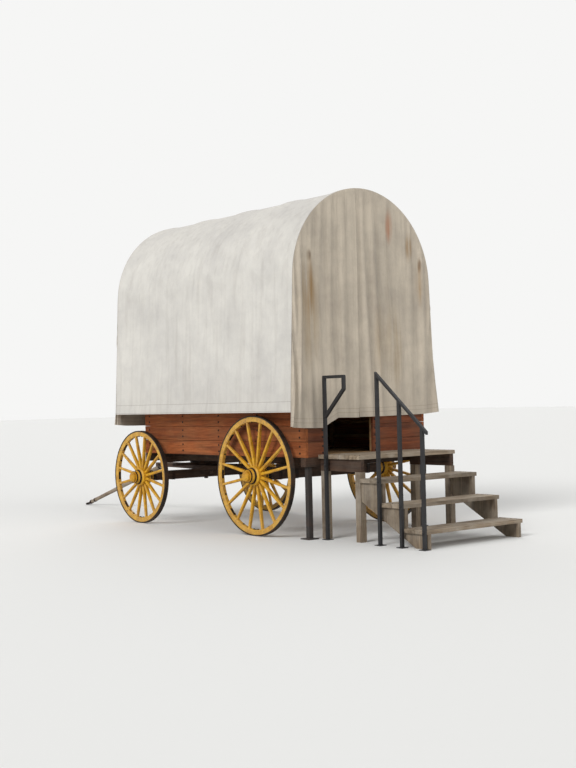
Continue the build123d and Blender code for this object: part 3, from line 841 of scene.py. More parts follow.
@dataclass(frozen=True)
class Hanging:
    """How a sheet is let hang: its slack, its stiffness in bending and for how many frames."""

    slack: float
    frames: int
    bending: float

    def settle(self, piece: Object) -> None:
        """Runs Blender's Cloth on a sheet pinned by its group "held", and applies the result.

        Args:
            piece: the sheet.
        """
        modifier = piece.modifiers.new("hang", "CLOTH")
        cloth = modifier.settings
        cloth.quality = 6
        cloth.mass = 0.35
        cloth.tension_stiffness = 30
        cloth.compression_stiffness = 12
        cloth.shear_stiffness = 12
        cloth.bending_stiffness = self.bending
        cloth.air_damping = 3
        cloth.shrink_min = -self.slack
        cloth.vertex_group_mass = "held"
        cloth.pin_stiffness = 5
        modifier.collision_settings.use_collision = False
        modifier.point_cache.frame_start = 1
        modifier.point_cache.frame_end = self.frames
        for number in range(1, self.frames + 1):
            bpy.context.scene.frame_set(number)
        apply_modifier(piece, modifier)
        bpy.context.scene.frame_set(1)
        log.info("%s has hung for %d frames", piece.name, self.frames)


def make_grid(
    name: str, columns: list[list[Vector]], flat: list[list[tuple[float, float]]]
) -> Object:
    """Makes a sheet from a grid of places, with its flat cut as a UV map in metres.

    Args:
        name: the sheet's name.
        columns: places, column by column.
        flat: flat places of the same points.

    Returns:
        The sheet.
    """
    rows = len(columns[0])
    points = [place for column in columns for place in column]
    flat_points = [place for column in flat for place in column]
    faces = [
        (i * rows + j, (i + 1) * rows + j, (i + 1) * rows + j + 1, i * rows + j + 1)
        for i in range(len(columns) - 1)
        for j in range(rows - 1)
    ]
    mesh = bpy.data.meshes.new(name)
    mesh.from_pydata(points, [], faces)
    mesh.update()
    cut = mesh.uv_layers.new(name="cloth")
    for loop in mesh.loops:
        cut.data[loop.index].uv = flat_points[loop.vertex_index]
    sheet = bpy.data.objects.new(name, mesh)
    bpy.context.collection.objects.link(sheet)
    return sheet


def weigh(piece: Object, name: str, chosen: list[bool]) -> None:
    """Adds a vertex group with the chosen vertices of a piece.

    Args:
        piece: the piece.
        name: the group's name.
        chosen: whether each vertex is in it.
    """
    group = piece.vertex_groups.new(name=name)
    group.add([number for number, is_in in enumerate(chosen) if is_in], 1.0, "REPLACE")


def thicken(piece: Object) -> None:
    """Gives a sheet its thickness on both sides, full where its group "hem" marks doubled cloth.

    Args:
        piece: the sheet.
    """
    modify(
        piece,
        "SOLIDIFY",
        thickness=DOUBLED_CLOTH,
        offset=0,
        vertex_group="hem",
        thickness_vertex_group=SINGLE_SHARE,
        use_even_offset=False,
    )


@dataclass
class CoverCloth:
    """The canvas drawn over the bows and laced down at the ledges."""

    arch: Arch
    finish: Material
    spacing: float = 0.027
    middle_inset: float = 0.0022
    bow_width: float = 0.050
    bow_margin: float = 0.006
    bow_count: int = 5
    hem_width: float = 0.105
    held_above_hem: float = 0.060
    eased_above_hem: float = 0.350
    roof_sag: float = 0.007
    side_sag: float = 0.003
    crease: float = 0.004
    crease_level: float = 0.5
    folds: Unevenness = Unevenness(0.6, 9.0, 0.9, 3.7)
    pulls: Unevenness = Unevenness(0.6, 1.0, 2.0, 11.3)
    pull_slant: tuple[float, float] = (3.0, 1.4)
    most_inward: float = 0.012
    most_outward: float = 0.003
    hanging: Hanging = Hanging(slack=0.0012, frames=20, bending=6.0)

    def build(self) -> Object:
        """Makes, hangs and dresses the cover.

        Returns:
            The cover's sheet.
        """
        low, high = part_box("canvas_cover")
        length = high.x - low.x
        girth = self.arch.girth
        xs, shares = self.stations(low.x, length)
        around = round(girth / self.spacing)
        alongs = [girth * j / around for j in range(around + 1)]
        rest, frees, columns = [], [], []
        for x, share in zip(xs, shares):
            column = []
            for along in alongs:
                place, out = self.arch.point(along)
                place.x = x
                above = min(along, girth - along) - self.held_above_hem
                free = share * limited(above / self.eased_above_hem)
                rest.append((place - out * self.middle_inset, out))
                frees.append(free)
                column.append(place - out * self.depth_at(x, along, out.z, free))
            columns.append(column)
        cover = make_grid("cover_cloth", columns, [[(x - low.x, along) for along in alongs] for x in xs])
        weigh(cover, "held", [free == 0 for free in frees])
        self.hanging.settle(cover)
        self.keep_clear(cover, rest)
        doubled = [
            min(along, girth - along, x - low.x, length - (x - low.x)) <= self.hem_width
            for x in xs
            for along in alongs
        ]
        weigh(cover, "hem", doubled)
        thicken(cover)
        dress(cover, self.finish, WAGON_BODY, CLOTH_SMOOTH)
        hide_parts("canvas_cover")
        return cover

    def stations(self, start: float, length: float) -> tuple[list[float], list[float]]:
        """Places along the wagon for the grid, closest at the bows' edges.

        Args:
            start: x of the cover's rear end.
            length: the cover's length.

        Returns:
            Each place's x, and how free its cloth is: 0 on a bow, 1 half way to the next.
        """
        pitch = (length - self.bow_width) / (self.bow_count - 1)
        bay = pitch - self.bow_width - 2 * self.bow_margin
        steps = round(bay / self.spacing)
        xs, shares = [], []
        for number in range(self.bow_count):
            bow = start + number * pitch
            past = bow + self.bow_width + self.bow_margin
            near_bow = [bow, bow + self.bow_width / 2, bow + self.bow_width]
            if number > 0:
                near_bow.insert(0, bow - self.bow_margin)
            if number < self.bow_count - 1:
                near_bow.append(past)
            xs += near_bow
            shares += [0.0] * len(near_bow)
            if number < self.bow_count - 1:
                xs += [past + bay * step / steps for step in range(1, steps)]
                shares += [4 * step / steps * (1 - step / steps) for step in range(1, steps)]
        return xs, shares

    def depth_at(self, x: float, along: float, slope: float, free: float) -> float:
        """How far the cloth lies inside the outline at a place.

        Args:
            x: the place along the wagon.
            along: its length along the outline.
            slope: z of its outward direction, 1 on the ridge.
            free: how free the cloth is there.

        Returns:
            The depth.
        """
        sag = self.side_sag + (self.roof_sag - self.side_sag) * max(0.0, slope)
        slanted = x * self.pull_slant[0] + along * self.pull_slant[1]
        uneven = self.crease_level + self.folds.at(x, along) + self.pulls.at(slanted, along)
        return self.middle_inset + free * (sag + self.crease * uneven)

    def keep_clear(self, cover: Object, rest: list[tuple[Vector, Vector]]) -> None:
        """Keeps the hung cloth between the CAD outline and the purlins.

        Args:
            cover: the sheet.
            rest: each vertex's taut place and outward direction.
        """
        for vertex, (place, out) in zip(cover.data.vertices, rest):
            moved = (vertex.co - place).dot(out)
            kept = min(max(moved, -self.most_inward), self.most_outward)
            vertex.co += out * (kept - moved)


@dataclass
class Curtain:
    """A sheet that closes an end of the cover: held along the arch and hanging to its hem.

    start and end are the y of a free upright edge, or None where the cloth follows the leg. away is
    the direction along x that faces away from the wagon, and hem_line is the y and z of the hem.
    """

    name: str
    node: str
    arch: Arch
    finish: Material
    wall_x: float
    away: float
    hem_line: tuple[tuple[float, float], ...]
    start: float | None = None
    end: float | None = None
    seed: float = 0.0

    # The grid, its flat cut and how it is held
    spacing: float = 0.018
    height_spare: float = 0.1
    inset: float = 0.0015
    fullness: float = 1.06
    hem_width: float = 0.090
    held_rows: int = 2
    leg_rows: int = 3
    hanging: Hanging = Hanging(slack=0.002, frames=14, bending=3.0)

    # How far the cloth stands off the bow
    stand_off: float = 0.004
    least_depth: float = 0.003
    most_depth: float = 0.085
    edge_reach: float = 0.08
    belly: float = 0.014
    overlap_lift: float = 0.0
    overlap_reach: float = 0.22

    # Pleats run down the cloth, fuller towards the hem
    pleat_depth: float = 0.042
    pleats_per_metre: float = 5.5
    hem_share: float = 0.55
    sharpness: float = 1.4
    top_share: float = 0.18
    widening: float = 0.8
    pleat_level: float = 0.9
    least_pleat: float = 0.15
    wander: Unevenness = Unevenness(1.6, 1.9, 0.3, 0)
    variety: Unevenness = Unevenness(1.1, 2.7, 0.45, 5)
    creases: Unevenness = Unevenness(0.25, 17.0, 0.8, 9)

    # Gathers run in from the arch where the cloth is tied to the bow
    gather_depth: float = 0.016
    gathers_per_metre: float = 7.0
    gather_reach: float = 0.20
    gather_ease: float = 0.25
    gather_wander: Unevenness = Unevenness(1.2, 3.0, 2.0, 0)

    @property
    def radius(self) -> float:
        """Radius of the round top that the curtain is tied along."""
        return self.arch.radius - self.inset

    def hem_at(self, y: float) -> float:
        """Height of the hem, read from its line.

        Args:
            y: the place across.

        Returns:
            The height.
        """
        points = self.hem_line
        for (y0, z0), (y1, z1) in zip(points, points[1:]):
            if y1 <= y <= y0:
                return z0 + (z1 - z0) * (y0 - y) / (y0 - y1)
        return points[0][1] if y > points[0][0] else points[-1][1]

    def build(self) -> Object:
        """Makes, hangs and dresses the curtain.

        Returns:
            The curtain's sheet.
        """
        columns, flat = self.drape()
        curtain = make_grid(self.name, columns, flat)
        if self.away < 0:
            curtain.data.flip_normals()

        # An outer column is held to the leg, or has a free edge with doubled cloth
        across, up = len(columns) - 1, len(columns[0]) - 1
        on_leg = {0: self.start is None, across: self.end is None}
        cells = [(i, j) for i in range(across + 1) for j in range(up + 1)]
        top_rows = up - self.held_rows
        held = [j > top_rows or (on_leg.get(i, False) and j % self.leg_rows == 0) for i, j in cells]
        weigh(curtain, "held", held)
        self.hanging.settle(curtain)
        self.keep_clear(curtain)
        lengths = [(column[-1] - column[0]).length for column in columns]
        doubled = [lengths[i] * j / up <= self.hem_width or not on_leg.get(i, True) for i, j in cells]
        weigh(curtain, "hem", doubled)
        area = sum(face.area for face in curtain.data.polygons)
        thicken(curtain)
        dress(curtain, self.finish, WAGON_BODY, CLOTH_SMOOTH)
        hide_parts(self.node)
        flat_width = flat[-1][0][0] * self.fullness
        flat_length = self.arch.spring + self.radius - min(z for _, z in self.hem_line)
        area = min(area, flat_width * flat_length)
        return curtain

    def drape(self) -> tuple[list[list[Vector]], list[list[tuple[float, float]]]]:
        """Lays the cloth's threads from the hem up to the arch, folded as they are tied.

        Returns:
            Their places, column by column, and their flat places in metres.
        """
        radius, lean = self.radius, self.arch.lean
        y_from, angle_from = self.arch.side(self.hem_line[0][1], self.inset), lean
        y_to, angle_to = -self.arch.side(self.hem_line[-1][1], self.inset), math.pi - lean
        if self.start is not None:
            y_from, angle_from = self.start, math.acos(self.start / radius)
        if self.end is not None:
            y_to, angle_to = self.end, math.acos(self.end / radius)
        width = abs(y_to - y_from)
        across = round(width / self.spacing)
        up = round((self.arch.height + self.height_spare) / self.spacing)
        columns, flat = [], []
        for i in range(across + 1):
            u = i / across
            y_low = y_from + (y_to - y_from) * u
            angle = angle_from + (angle_to - angle_from) * u
            low = Vector((0, y_low, self.hem_at(y_low)))
            high = Vector((0, radius * math.cos(angle), self.arch.spring + radius * math.sin(angle)))
            length = (high - low).length
            column = []
            for j in range(up + 1):
                place = low.lerp(high, j / up)
                depth = self.depth_at(place, y_low, length * (1 - j / up))
                place.x = self.wall_x + self.away * depth
                column.append(place)
            columns.append(column)
            flat.append([(u * width, length * j / up) for j in range(up + 1)])
        return columns, flat

    def depth_at(self, place: Vector, y_low: float, below_arch: float) -> float:
        """How far the folded cloth stands off the bow at a place.

        Args:
            place: the place on the flat curtain.
            y_low: y of the same thread at the hem.
            below_arch: length of the thread above the place.

        Returns:
            The distance from the bow's face.
        """
        drop = limited(below_arch / self.arch.height)
        above_spring = place.z - self.arch.spring
        inside = self.arch.radius - math.hypot(place.y, above_spring)
        if above_spring < 0:
            inside = self.arch.side(place.z) - abs(place.y)
        fade = limited(inside / self.edge_reach)
        thread = self.hem_share * y_low + (1 - self.hem_share) * place.y
        belly = self.belly * math.sin(math.pi * drop)
        folded = self.pleat(thread, place.z, drop) + self.gather(place.y, above_spring, inside) + belly
        depth = self.stand_off + fade * folded
        free_edge = self.start if self.end is None else self.end
        if free_edge is not None:
            depth += self.overlap_lift * fade * limited(1 - abs(place.y - free_edge) / self.overlap_reach)
        return depth

    def pleat(self, thread: float, height: float, drop: float) -> float:
        """Depth of the pleats and the small creases between them.

        Args:
            thread: y of the upright thread.
            height: height of the place.
            drop: share of the curtain above it.

        Returns:
            The depth.
        """
        fold = wave(thread * self.pleats_per_metre + self.wander.at(thread, height, self.seed))
        strength = max(self.least_pleat, self.pleat_level + self.variety.at(thread, height, self.seed))
        fullness = self.top_share + (1 - self.top_share) * drop**self.widening
        small = self.creases.at(thread, height, self.seed) * drop
        return self.pleat_depth * (strength * fold**self.sharpness * fullness + small)

    def gather(self, y: float, above_spring: float, inside: float) -> float:
        """Depth of the gathers.

        Args:
            y: the place across.
            above_spring: its height above the round top's centre.
            inside: how far it lies inside the arch.

        Returns:
            The depth.
        """
        around = self.arch.radius * math.atan2(above_spring, y)
        turns = around * self.gathers_per_metre + self.gather_wander.at(around, 1.0, self.seed)
        deep = self.gather_depth * math.exp(-inside / self.gather_reach) * wave(turns)
        return deep * limited(above_spring / self.gather_ease)

    def keep_clear(self, curtain: Object) -> None:
        """Keeps the hung cloth off the bow and near the end of the wagon.

        Args:
            curtain: the sheet.
        """
        for vertex in curtain.data.vertices:
            depth = (vertex.co.x - self.wall_x) * self.away
            kept = min(max(depth, self.least_depth), self.most_depth)
            vertex.co.x = self.wall_x + self.away * kept


# Iron and timber fittings


@dataclass
class Bolts:
    """Round bolt heads or nail heads, all alike, on the wagon's body."""

    name: str
    slot: str
    finish: Material
    radius: float
    height: float
    sides: int = 10
    crown_inset: float = 0.4
    crown_lift: float = 0.35
    smooth_degrees: float = 50.0

    def build(self, places: list[tuple[Vector, Vector]]) -> None:
        """Makes one head, copies it to each place and dresses them as one piece.

        Args:
            places: each head's place on its surface, and the direction that it faces.
        """
        head = add_round(self.sides, self.radius, self.height, (0, 0, self.height / 2))
        raise_top(self.radius * self.crown_inset, self.height * self.crown_lift)
        bake_place(head)
        heads = [
            copy_to(head, Matrix.Translation(place) @ facing.to_track_quat("Z", "Y").to_matrix().to_4x4())
            for place, facing in places
        ]
        bpy.data.objects.remove(head)
        dress(join_pieces(self.name, heads), self.finish, WAGON_BODY, self.smooth_degrees)


@dataclass
class WheelFittings:
    """Iron bands and a cap on one wheel's hub, and the irons and bolts inside its felloes."""

    wheel: str
    radius: float
    side: int
    iron: Material
    paint: Material
    hub_middle: float = 0.900
    hub_half: float = 0.120

    # Columns: distance from the hub's middle, radius nearer the middle, radius further out, width
    bands: tuple[tuple[float, float, float, float], ...] = (
        (0.113, 0.0665, 0.0665, 0.014),
        (0.072, 0.0830, 0.0765, 0.020),
        (-0.072, 0.0830, 0.0765, 0.020),
        (-0.113, 0.0665, 0.0665, 0.014),
    )
    band_sides: int = 48

    # The cap's face is drawn in and raised in steps. Columns: drawn in, raised
    cap_steps: tuple[tuple[float, float], ...] = ((0.012, 0.006), (0.008, 0.003))
    cap_sides: int = 40
    cap_radius: float = 0.050
    cap_depth: float = 0.028
    cap_wall: float = 0.006
    cap_hollow: float = 0.0265
    cap_gap: float = 0.0005
    cap_round: float = 0.002

    # The irons inside the felloes
    tyre_thickness: float = 0.012
    felloe_depth: float = 0.0509
    joints: int = 8
    strap: Triple = (0.003, 0.026, 0.090)
    strap_round: float = 0.001
    nut_sides: int = 6
    nut_radius: float = 0.010
    nut_depth: float = 0.008
    nut_round: float = 0.0012
    nut_shift: float = 0.033

    def build(self) -> None:
        """Makes and dresses the fittings."""
        low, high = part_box(f"{self.wheel}_tyre")
        centre = (low + high) / 2
        bands = join_pieces(f"{self.wheel}_bands", [self.band(centre, *row) for row in self.bands])
        dress(bands, self.iron, self.wheel)
        dress(self.cap(centre), self.paint, self.wheel)
        dress(self.felloe_irons(centre), self.iron, self.wheel)

    def band(self, centre: Vector, offset: float, near: float, far: float, width: float) -> Object:
        """One iron ring round the hub.

        Args:
            centre: the wheel's centre.
            offset: distance of the ring's middle from the hub's middle, outwards.
            near: radius on the side nearer the hub's middle.
            far: radius on the other side.
            width: the ring's width.

        Returns:
            The ring.
        """
        outwards = self.side if offset > 0 else -self.side
        middle = (centre.x, self.side * (self.hub_middle + offset), centre.z)
        return add_ring(self.band_sides, near, far, width, middle, (-outwards * math.pi / 2, 0, 0))

    def cap(self, centre: Vector) -> Object:
        """The turned cap over the axle nut, hollow towards the hub.

        Args:
            centre: the wheel's centre.

        Returns:
            The cap.
        """
        depth = self.cap_depth
        out = self.hub_middle + self.hub_half + depth / 2 + self.cap_gap
        place = (centre.x, self.side * out, centre.z)
        turned = (-self.side * math.pi / 2, 0, 0)
        cap = add_round(self.cap_sides, self.cap_radius, depth, place, turned)
        cap.name = f"{self.wheel}_cap"
        select_faces(lambda middle, normal: normal.z < -FACING)
        self.draw_out(self.cap_wall, self.cap_hollow)

        # The hollow's floor faces the same way as the cap's face, but lies deeper
        select_faces(lambda middle, normal: normal.z > FACING and middle.z > 0.4 * depth)
        for inset, lift in self.cap_steps:
            self.draw_out(inset, lift)
        bpy.ops.object.mode_set(mode="OBJECT")
        bevel_edges(cap, self.cap_round, 2)
        bake_place(cap)
        return cap

    def draw_out(self, inset: float, distance: float) -> None:
        """Draws in the chosen faces and extrudes them outwards along the axle."""
        bpy.ops.mesh.inset(thickness=inset)
        bpy.ops.mesh.extrude_region_move(TRANSFORM_OT_translate={"value": (0, self.side * distance, 0)})

    def felloe_irons(self, centre: Vector) -> Object:
        """Straps across the joints between felloes, and the nuts of the tyre bolts beside them.

        Args:
            centre: the wheel's centre.

        Returns:
            The straps and nuts as one piece.
        """
        inner = self.radius - self.tyre_thickness - self.felloe_depth
        strap = add_block((centre.x + inner - self.strap[0] / 2, centre.y, centre.z), self.strap)
        bevel_edges(strap, self.strap_round)
        middle = (centre.x + inner - self.nut_depth / 2, centre.y, centre.z)
        nut = add_round(self.nut_sides, self.nut_radius, self.nut_depth, middle, (0, math.pi / 2, 0))
        bake_place(nut)
        bevel_edges(nut, self.nut_round)
        step = 2 * math.pi / self.joints
        beside = self.nut_shift / inner
        made = [
            copy_to(piece, self.turn(centre, number * step + angle))
            for number in range(self.joints)
            for piece, angle in ((strap, 0.0), (nut, step / 2), (nut, -beside), (nut, beside))
        ]
        for start in (strap, nut):
            bpy.data.objects.remove(start)
        return join_pieces(f"{self.wheel}_felloe_irons", made)

    def turn(self, centre: Vector, angle: float) -> Matrix:
        """Turns a piece round the wheel's axle by an angle in radians."""
        return Matrix.Translation(centre) @ Matrix.Rotation(angle, 4, "Y") @ Matrix.Translation(-centre)


@dataclass
class BoxFittings:
    """Carriage bolts through the box's boards into the cleats inside, and battens behind the joints.

    The battens lie between the cleats, over the joints between the boards.
    """

    iron: Material
    wood: Material
    board_count: int = 3
    board_gap: float = 0.003
    board_thickness: float = 0.030
    front_cleats: tuple[float, ...] = (-0.4, 0.4)
    rear_cleats: tuple[float, ...] = (-0.11, 0.61)
    side_cleat_count: int = 5
    side_cleat_end: float = 0.090
    cleat_half: float = 0.036
    bolt_shares: tuple[float, ...] = (0.27, 0.70)
    bolt_radius: float = 0.010
    bolt_height: float = 0.004
    batten_width: float = 0.036
    batten_thickness: float = 0.009
    batten_round: float = 0.002
    shortest_batten: float = 0.072

    def build(self) -> None:
        """Makes and dresses the bolts and the battens."""
        low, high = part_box("side_boards_left")
        pitch = (high.z - low.z + self.board_gap) / self.board_count
        first = low.x + self.side_cleat_end
        step = (high.x - low.x - 2 * self.side_cleat_end) / (self.side_cleat_count - 1)
        side_cleats = [first + number * step for number in range(self.side_cleat_count)]
        rows = [board + share for board in range(self.board_count) for share in self.bolt_shares]
        places = []
        for height in [low.z + row * pitch for row in rows]:
            for x in side_cleats:
                places += [(Vector((x, side * high.y, height)), Vector((0, side, 0))) for side in (1, -1)]
            for x, facing, cleats in ((high.x, 1, self.front_cleats), (low.x, -1, self.rear_cleats)):
                places += [(Vector((x, y, height)), Vector((facing, 0, 0))) for y in cleats]
        Bolts("box_bolts", "iron", self.iron, self.bolt_radius, self.bolt_height).build(places)

        deep = self.board_thickness + self.batten_thickness / 2
        wall = high.y - self.board_thickness
        battens = []
        for height in [low.z + joint * pitch - self.board_gap / 2 for joint in range(1, self.board_count)]:
            for x, cleats in ((high.x - deep, self.front_cleats), (low.x + deep, self.rear_cleats)):
                stops = [-wall, *cleats, wall]
                for start, end in zip(stops, stops[1:]):
                    is_entry = x < 0 and start == cleats[0]
                    if not is_entry and end - start > 2 * self.cleat_half + self.shortest_batten:
                        middle = Vector((x, (start + end) / 2, height))
                        battens.append(self.batten(middle, Vector((0, end - start, 0))))
            for start, end in zip(side_cleats, side_cleats[1:]):
                for side in (1, -1):
                    middle = Vector(((start + end) / 2, side * (high.y - deep), height))
                    battens.append(self.batten(middle, Vector((end - start, 0, 0))))
        dress(join_pieces("joint_battens", battens), self.wood, WAGON_BODY)

    def batten(self, middle: Vector, run: Vector) -> Object:
        """One batten between two cleats.

        Args:
            middle: its middle.
            run: the distance between the cleats' middles, along the wall.

        Returns:
            The batten.
        """
        length = run.length - 2 * self.cleat_half
        thick = self.batten_thickness
        size = (length if run.x else thick, length if run.y else thick, self.batten_width)
        batten = add_block(middle, size)
        bevel_edges(batten, self.batten_round)
        return batten


@dataclass
class GearFittings:
    """Flat iron straps round the axle beams, and rings round the tongue."""

    iron: Material
    strap_width: float = 0.040
    strap_iron: float = 0.006
    strap_gap: float = 0.0002
    strap_below_top: float = 0.002
    strap_round: float = 0.0015
    tongue_slope: float = math.radians(17.044)
    ring_sides: int = 32

    # Columns: distance from the tongue's pin, radius, width
    rings: tuple[tuple[float, float, float], ...] = (
        (0.110, 0.0302, 0.035),
        (0.330, 0.0292, 0.030),
        (1.800, 0.0236, 0.030),
    )

    def build(self) -> None:
        """Makes and dresses the straps and the rings."""
        # Columns: beam, its body, the straps' places across
        for node, body, places in (
            ("rear_axle_beam", WAGON_BODY, (-0.62, -0.40, 0.40, 0.62)),
            ("front_axle_beam", FRONT_CARRIAGE, (-0.64, -0.50, 0.50, 0.64)),
        ):
            straps = [self.strap(*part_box(node), y) for y in places]
            dress(join_pieces(node.replace("beam", "straps"), straps), self.iron, body)
        low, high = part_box("tongue_pin")
        slope = self.tongue_slope
        forward = Vector((math.cos(slope), 0, -math.sin(slope)))
        turned = (0, math.pi / 2 + slope, 0)
        rings = [
            add_ring(self.ring_sides, radius, radius, width, (low + high) / 2 + forward * distance, turned)
            for distance, radius, width in self.rings
        ]
        dress(join_pieces("tongue_bands", rings), self.iron, TONGUE)

    def strap(self, low: Vector, high: Vector, y: float) -> Object:
        """A strap under and up both sides of a beam.

        Args:
            low: the beam's lowest corner.
            high: the beam's highest corner.
            y: the strap's middle.

        Returns:
            The strap.
        """
        top = high.z - self.strap_below_top
        size = (high.x - low.x + 2 * self.strap_gap, self.strap_width, top - low.z)
        strap = add_block(((low.x + high.x) / 2, y, (low.z + top) / 2), size)
        select_faces(lambda middle, normal: normal.z > FACING or abs(normal.y) > FACING)
        bpy.ops.mesh.delete(type="FACE")
        bpy.ops.object.mode_set(mode="OBJECT")
        modify(strap, "SOLIDIFY", thickness=self.strap_iron, offset=1)
        bevel_edges(strap, self.strap_round)
        return strap


@dataclass
class StepFittings:
    """Nails in the planks, and plates and bolts that fasten the handrail."""

    iron: Material
    paint: Material
    stringer_y: float = 0.622
    step_count: int = 3
    step_rise: float = 0.217
    step_run: float = 0.284
    plank_gap: float = 0.006
    plank_half: float = 0.019
    deck_planks: int = 4
    deck_nails: tuple[float, ...] = (0.25, 0.70)
    tread_nails: tuple[float, ...] = (0.12, 0.36, 0.62, 0.86)
    nail_radius: float = 0.006
    nail_height: float = 0.002
    guard_post_half: float = 0.015
    guard_bolt_drop: float = 0.100
    bolt_radius: float = 0.011
    bolt_height: float = 0.007
    plate: Triple = (0.080, 0.080, 0.006)
    plate_rim: float = 0.024
    plate_crown: float = 0.002
    plate_round: float = 0.001

    def build(self) -> None:
        """Makes and dresses the nails, plates and bolts."""
        deck_low, deck_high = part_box("landing_deck")
        first_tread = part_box("treads")[1]
        pitch = (deck_high.x - deck_low.x + self.plank_gap) / self.deck_planks
        heads = [
            (deck_high.x - (plank + share) * pitch, deck_high.z)
            for plank in range(self.deck_planks)
            for share in self.deck_nails
        ]

        # Each tread's front edge, where its post stands, and its height
        front = first_tread.x + self.plank_gap
        treads = [
            (front - (step + 1) * self.step_run, first_tread.z - step * self.step_rise)
            for step in range(self.step_count)
        ]
        for edge, height in treads:
            heads += [(edge + share * self.step_run, height) for share in self.tread_nails]
        across = (self.stringer_y, -self.stringer_y)
        nails = [(Vector((x, y, height)), UP) for x, height in heads for y in across]
        Bolts("plank_nails", "iron", self.iron, self.nail_radius, self.nail_height).build(nails)

        rail_low, rail_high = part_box("stair_rail")
        guard_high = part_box("landing_guard")[1]
        guard_post = guard_high.x - self.guard_post_half
        left = Vector((0, 1, 0))
        bolts = [(Vector((x, rail_high.y, height - self.plank_half)), left) for x, height in treads]
        for drop in (self.plank_half, self.guard_bolt_drop):
            bolts.append((Vector((guard_post, guard_high.y, deck_high.z - drop)), left))
        Bolts("rail_bolts", "rail_paint", self.paint, self.bolt_radius, self.bolt_height).build(bolts)

        plates = []
        for x in (*(edge for edge, _ in treads), guard_post):
            plate = add_block((x, (rail_low.y + rail_high.y) / 2, self.plate[2] / 2), self.plate)
            raise_top(self.plate_rim, self.plate_crown)
            bevel_edges(plate, self.plate_round)
            plates.append(plate)
        dress(join_pieces("rail_foot_plates", plates), self.paint, WAGON_BODY)


# Light, floor and camera


@dataclass
class Studio:
    """A pale floor under a white backdrop, with soft lamps on both sides."""

    floor_colour: str = "e2e2e0"
    floor_size: float = 240.0
    backdrop_colour: str = "f6f6f5"
    world_level: float = 0.30

    # Columns: name, direction that the light comes from, spread in degrees, strength
    lamps: tuple[tuple[str, Triple, float, float], ...] = (
        ("key", (-0.18, 0.85, 0.60), 25.0, 2.1),
        ("fill", (-0.90, 0.05, 0.40), 60.0, 1.1),
        ("back", (0.6, -0.5, 0.8), 50.0, 1.0),
    )

    def build(self) -> None:
        """Makes the floor, the world and the lamps."""
        scene = bpy.context.scene
        scene.view_settings.view_transform = "Standard"
        clear_selection()
        bpy.ops.mesh.primitive_plane_add(size=self.floor_size, location=(0, 0, 0))
        floor = bpy.context.object
        floor.name = "studio_floor"
        paint = Surface("studio floor").finish({"Base Color": srgb(self.floor_colour), "Roughness": 0.95})
        floor.data.materials.append(paint)

        # The camera, gloss and glass see the backdrop, and all other rays get the plain light
        scene.world = bpy.data.worlds.new("studio")
        scene.world.use_nodes = True
        tree = scene.world.node_tree
        tree.nodes.clear()
        rays = add_node(tree, "LightPath").outputs
        seen = rays["Is Camera Ray"]
        for kind in ("Is Glossy Ray", "Is Transmission Ray"):
            seen = add_node(tree, "Math", {0: seen, 1: rays[kind]}, operation="MAXIMUM")
        lit = add_node(tree, "Background", {"Color": (1, 1, 1, 1), "Strength": self.world_level})
        backdrop = add_node(tree, "Background", {"Color": srgb(self.backdrop_colour), "Strength": 1.0})
        mixed = add_node(tree, "MixShader", {0: seen, 1: lit, 2: backdrop})
        add_node(tree, "OutputWorld", {"Surface": mixed})
        for name, source, spread, strength in self.lamps:
            lamp = bpy.data.lights.new(name, "SUN")
            lamp.angle = math.radians(spread)
            lamp.energy = strength
            lamp_object = bpy.data.objects.new(name, lamp)
            bpy.context.collection.objects.link(lamp_object)
            lamp_object.rotation_euler = (-Vector(source)).to_track_quat("-Z", "Y").to_euler()


@dataclass
class PhotoCamera:
    """The photograph's own viewpoint, turned to the wagon's middle and drawn closer.

    The place and the roll come from a fit to the wheels, the box and the cover, measured from the
    rear axle in metres and degrees.
    """

    from_rear_axle: Triple = (-9.582, 8.408, 1.345)
    aim_from_rear_axle: Triple = (0.55, 0.0, 1.55)
    roll: float = -1.3265
    lens: float = 56.0
    sensor_width: float = 36.0

    def build(self) -> None:
        """Makes the camera and looks through it."""
        low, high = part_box("rear_wheel_left_tyre")
        axle = Vector(((low.x + high.x) / 2, 0, 0))
        place = axle + Vector(self.from_rear_axle)
        forward = axle + Vector(self.aim_from_rear_axle) - place
        level = forward.to_track_quat("-Z", "Y").to_matrix().to_4x4()
        data = bpy.data.cameras.new("photo camera")
        data.sensor_fit = "AUTO"
        data.sensor_width = self.sensor_width
        data.lens = self.lens
        camera = bpy.data.objects.new("photo camera", data)
        bpy.context.collection.objects.link(camera)
        roll = Matrix.Rotation(math.radians(self.roll), 4, "Z")
        camera.matrix_world = Matrix.Translation(place) @ level @ roll
        bpy.context.scene.camera = camera


# The wagon


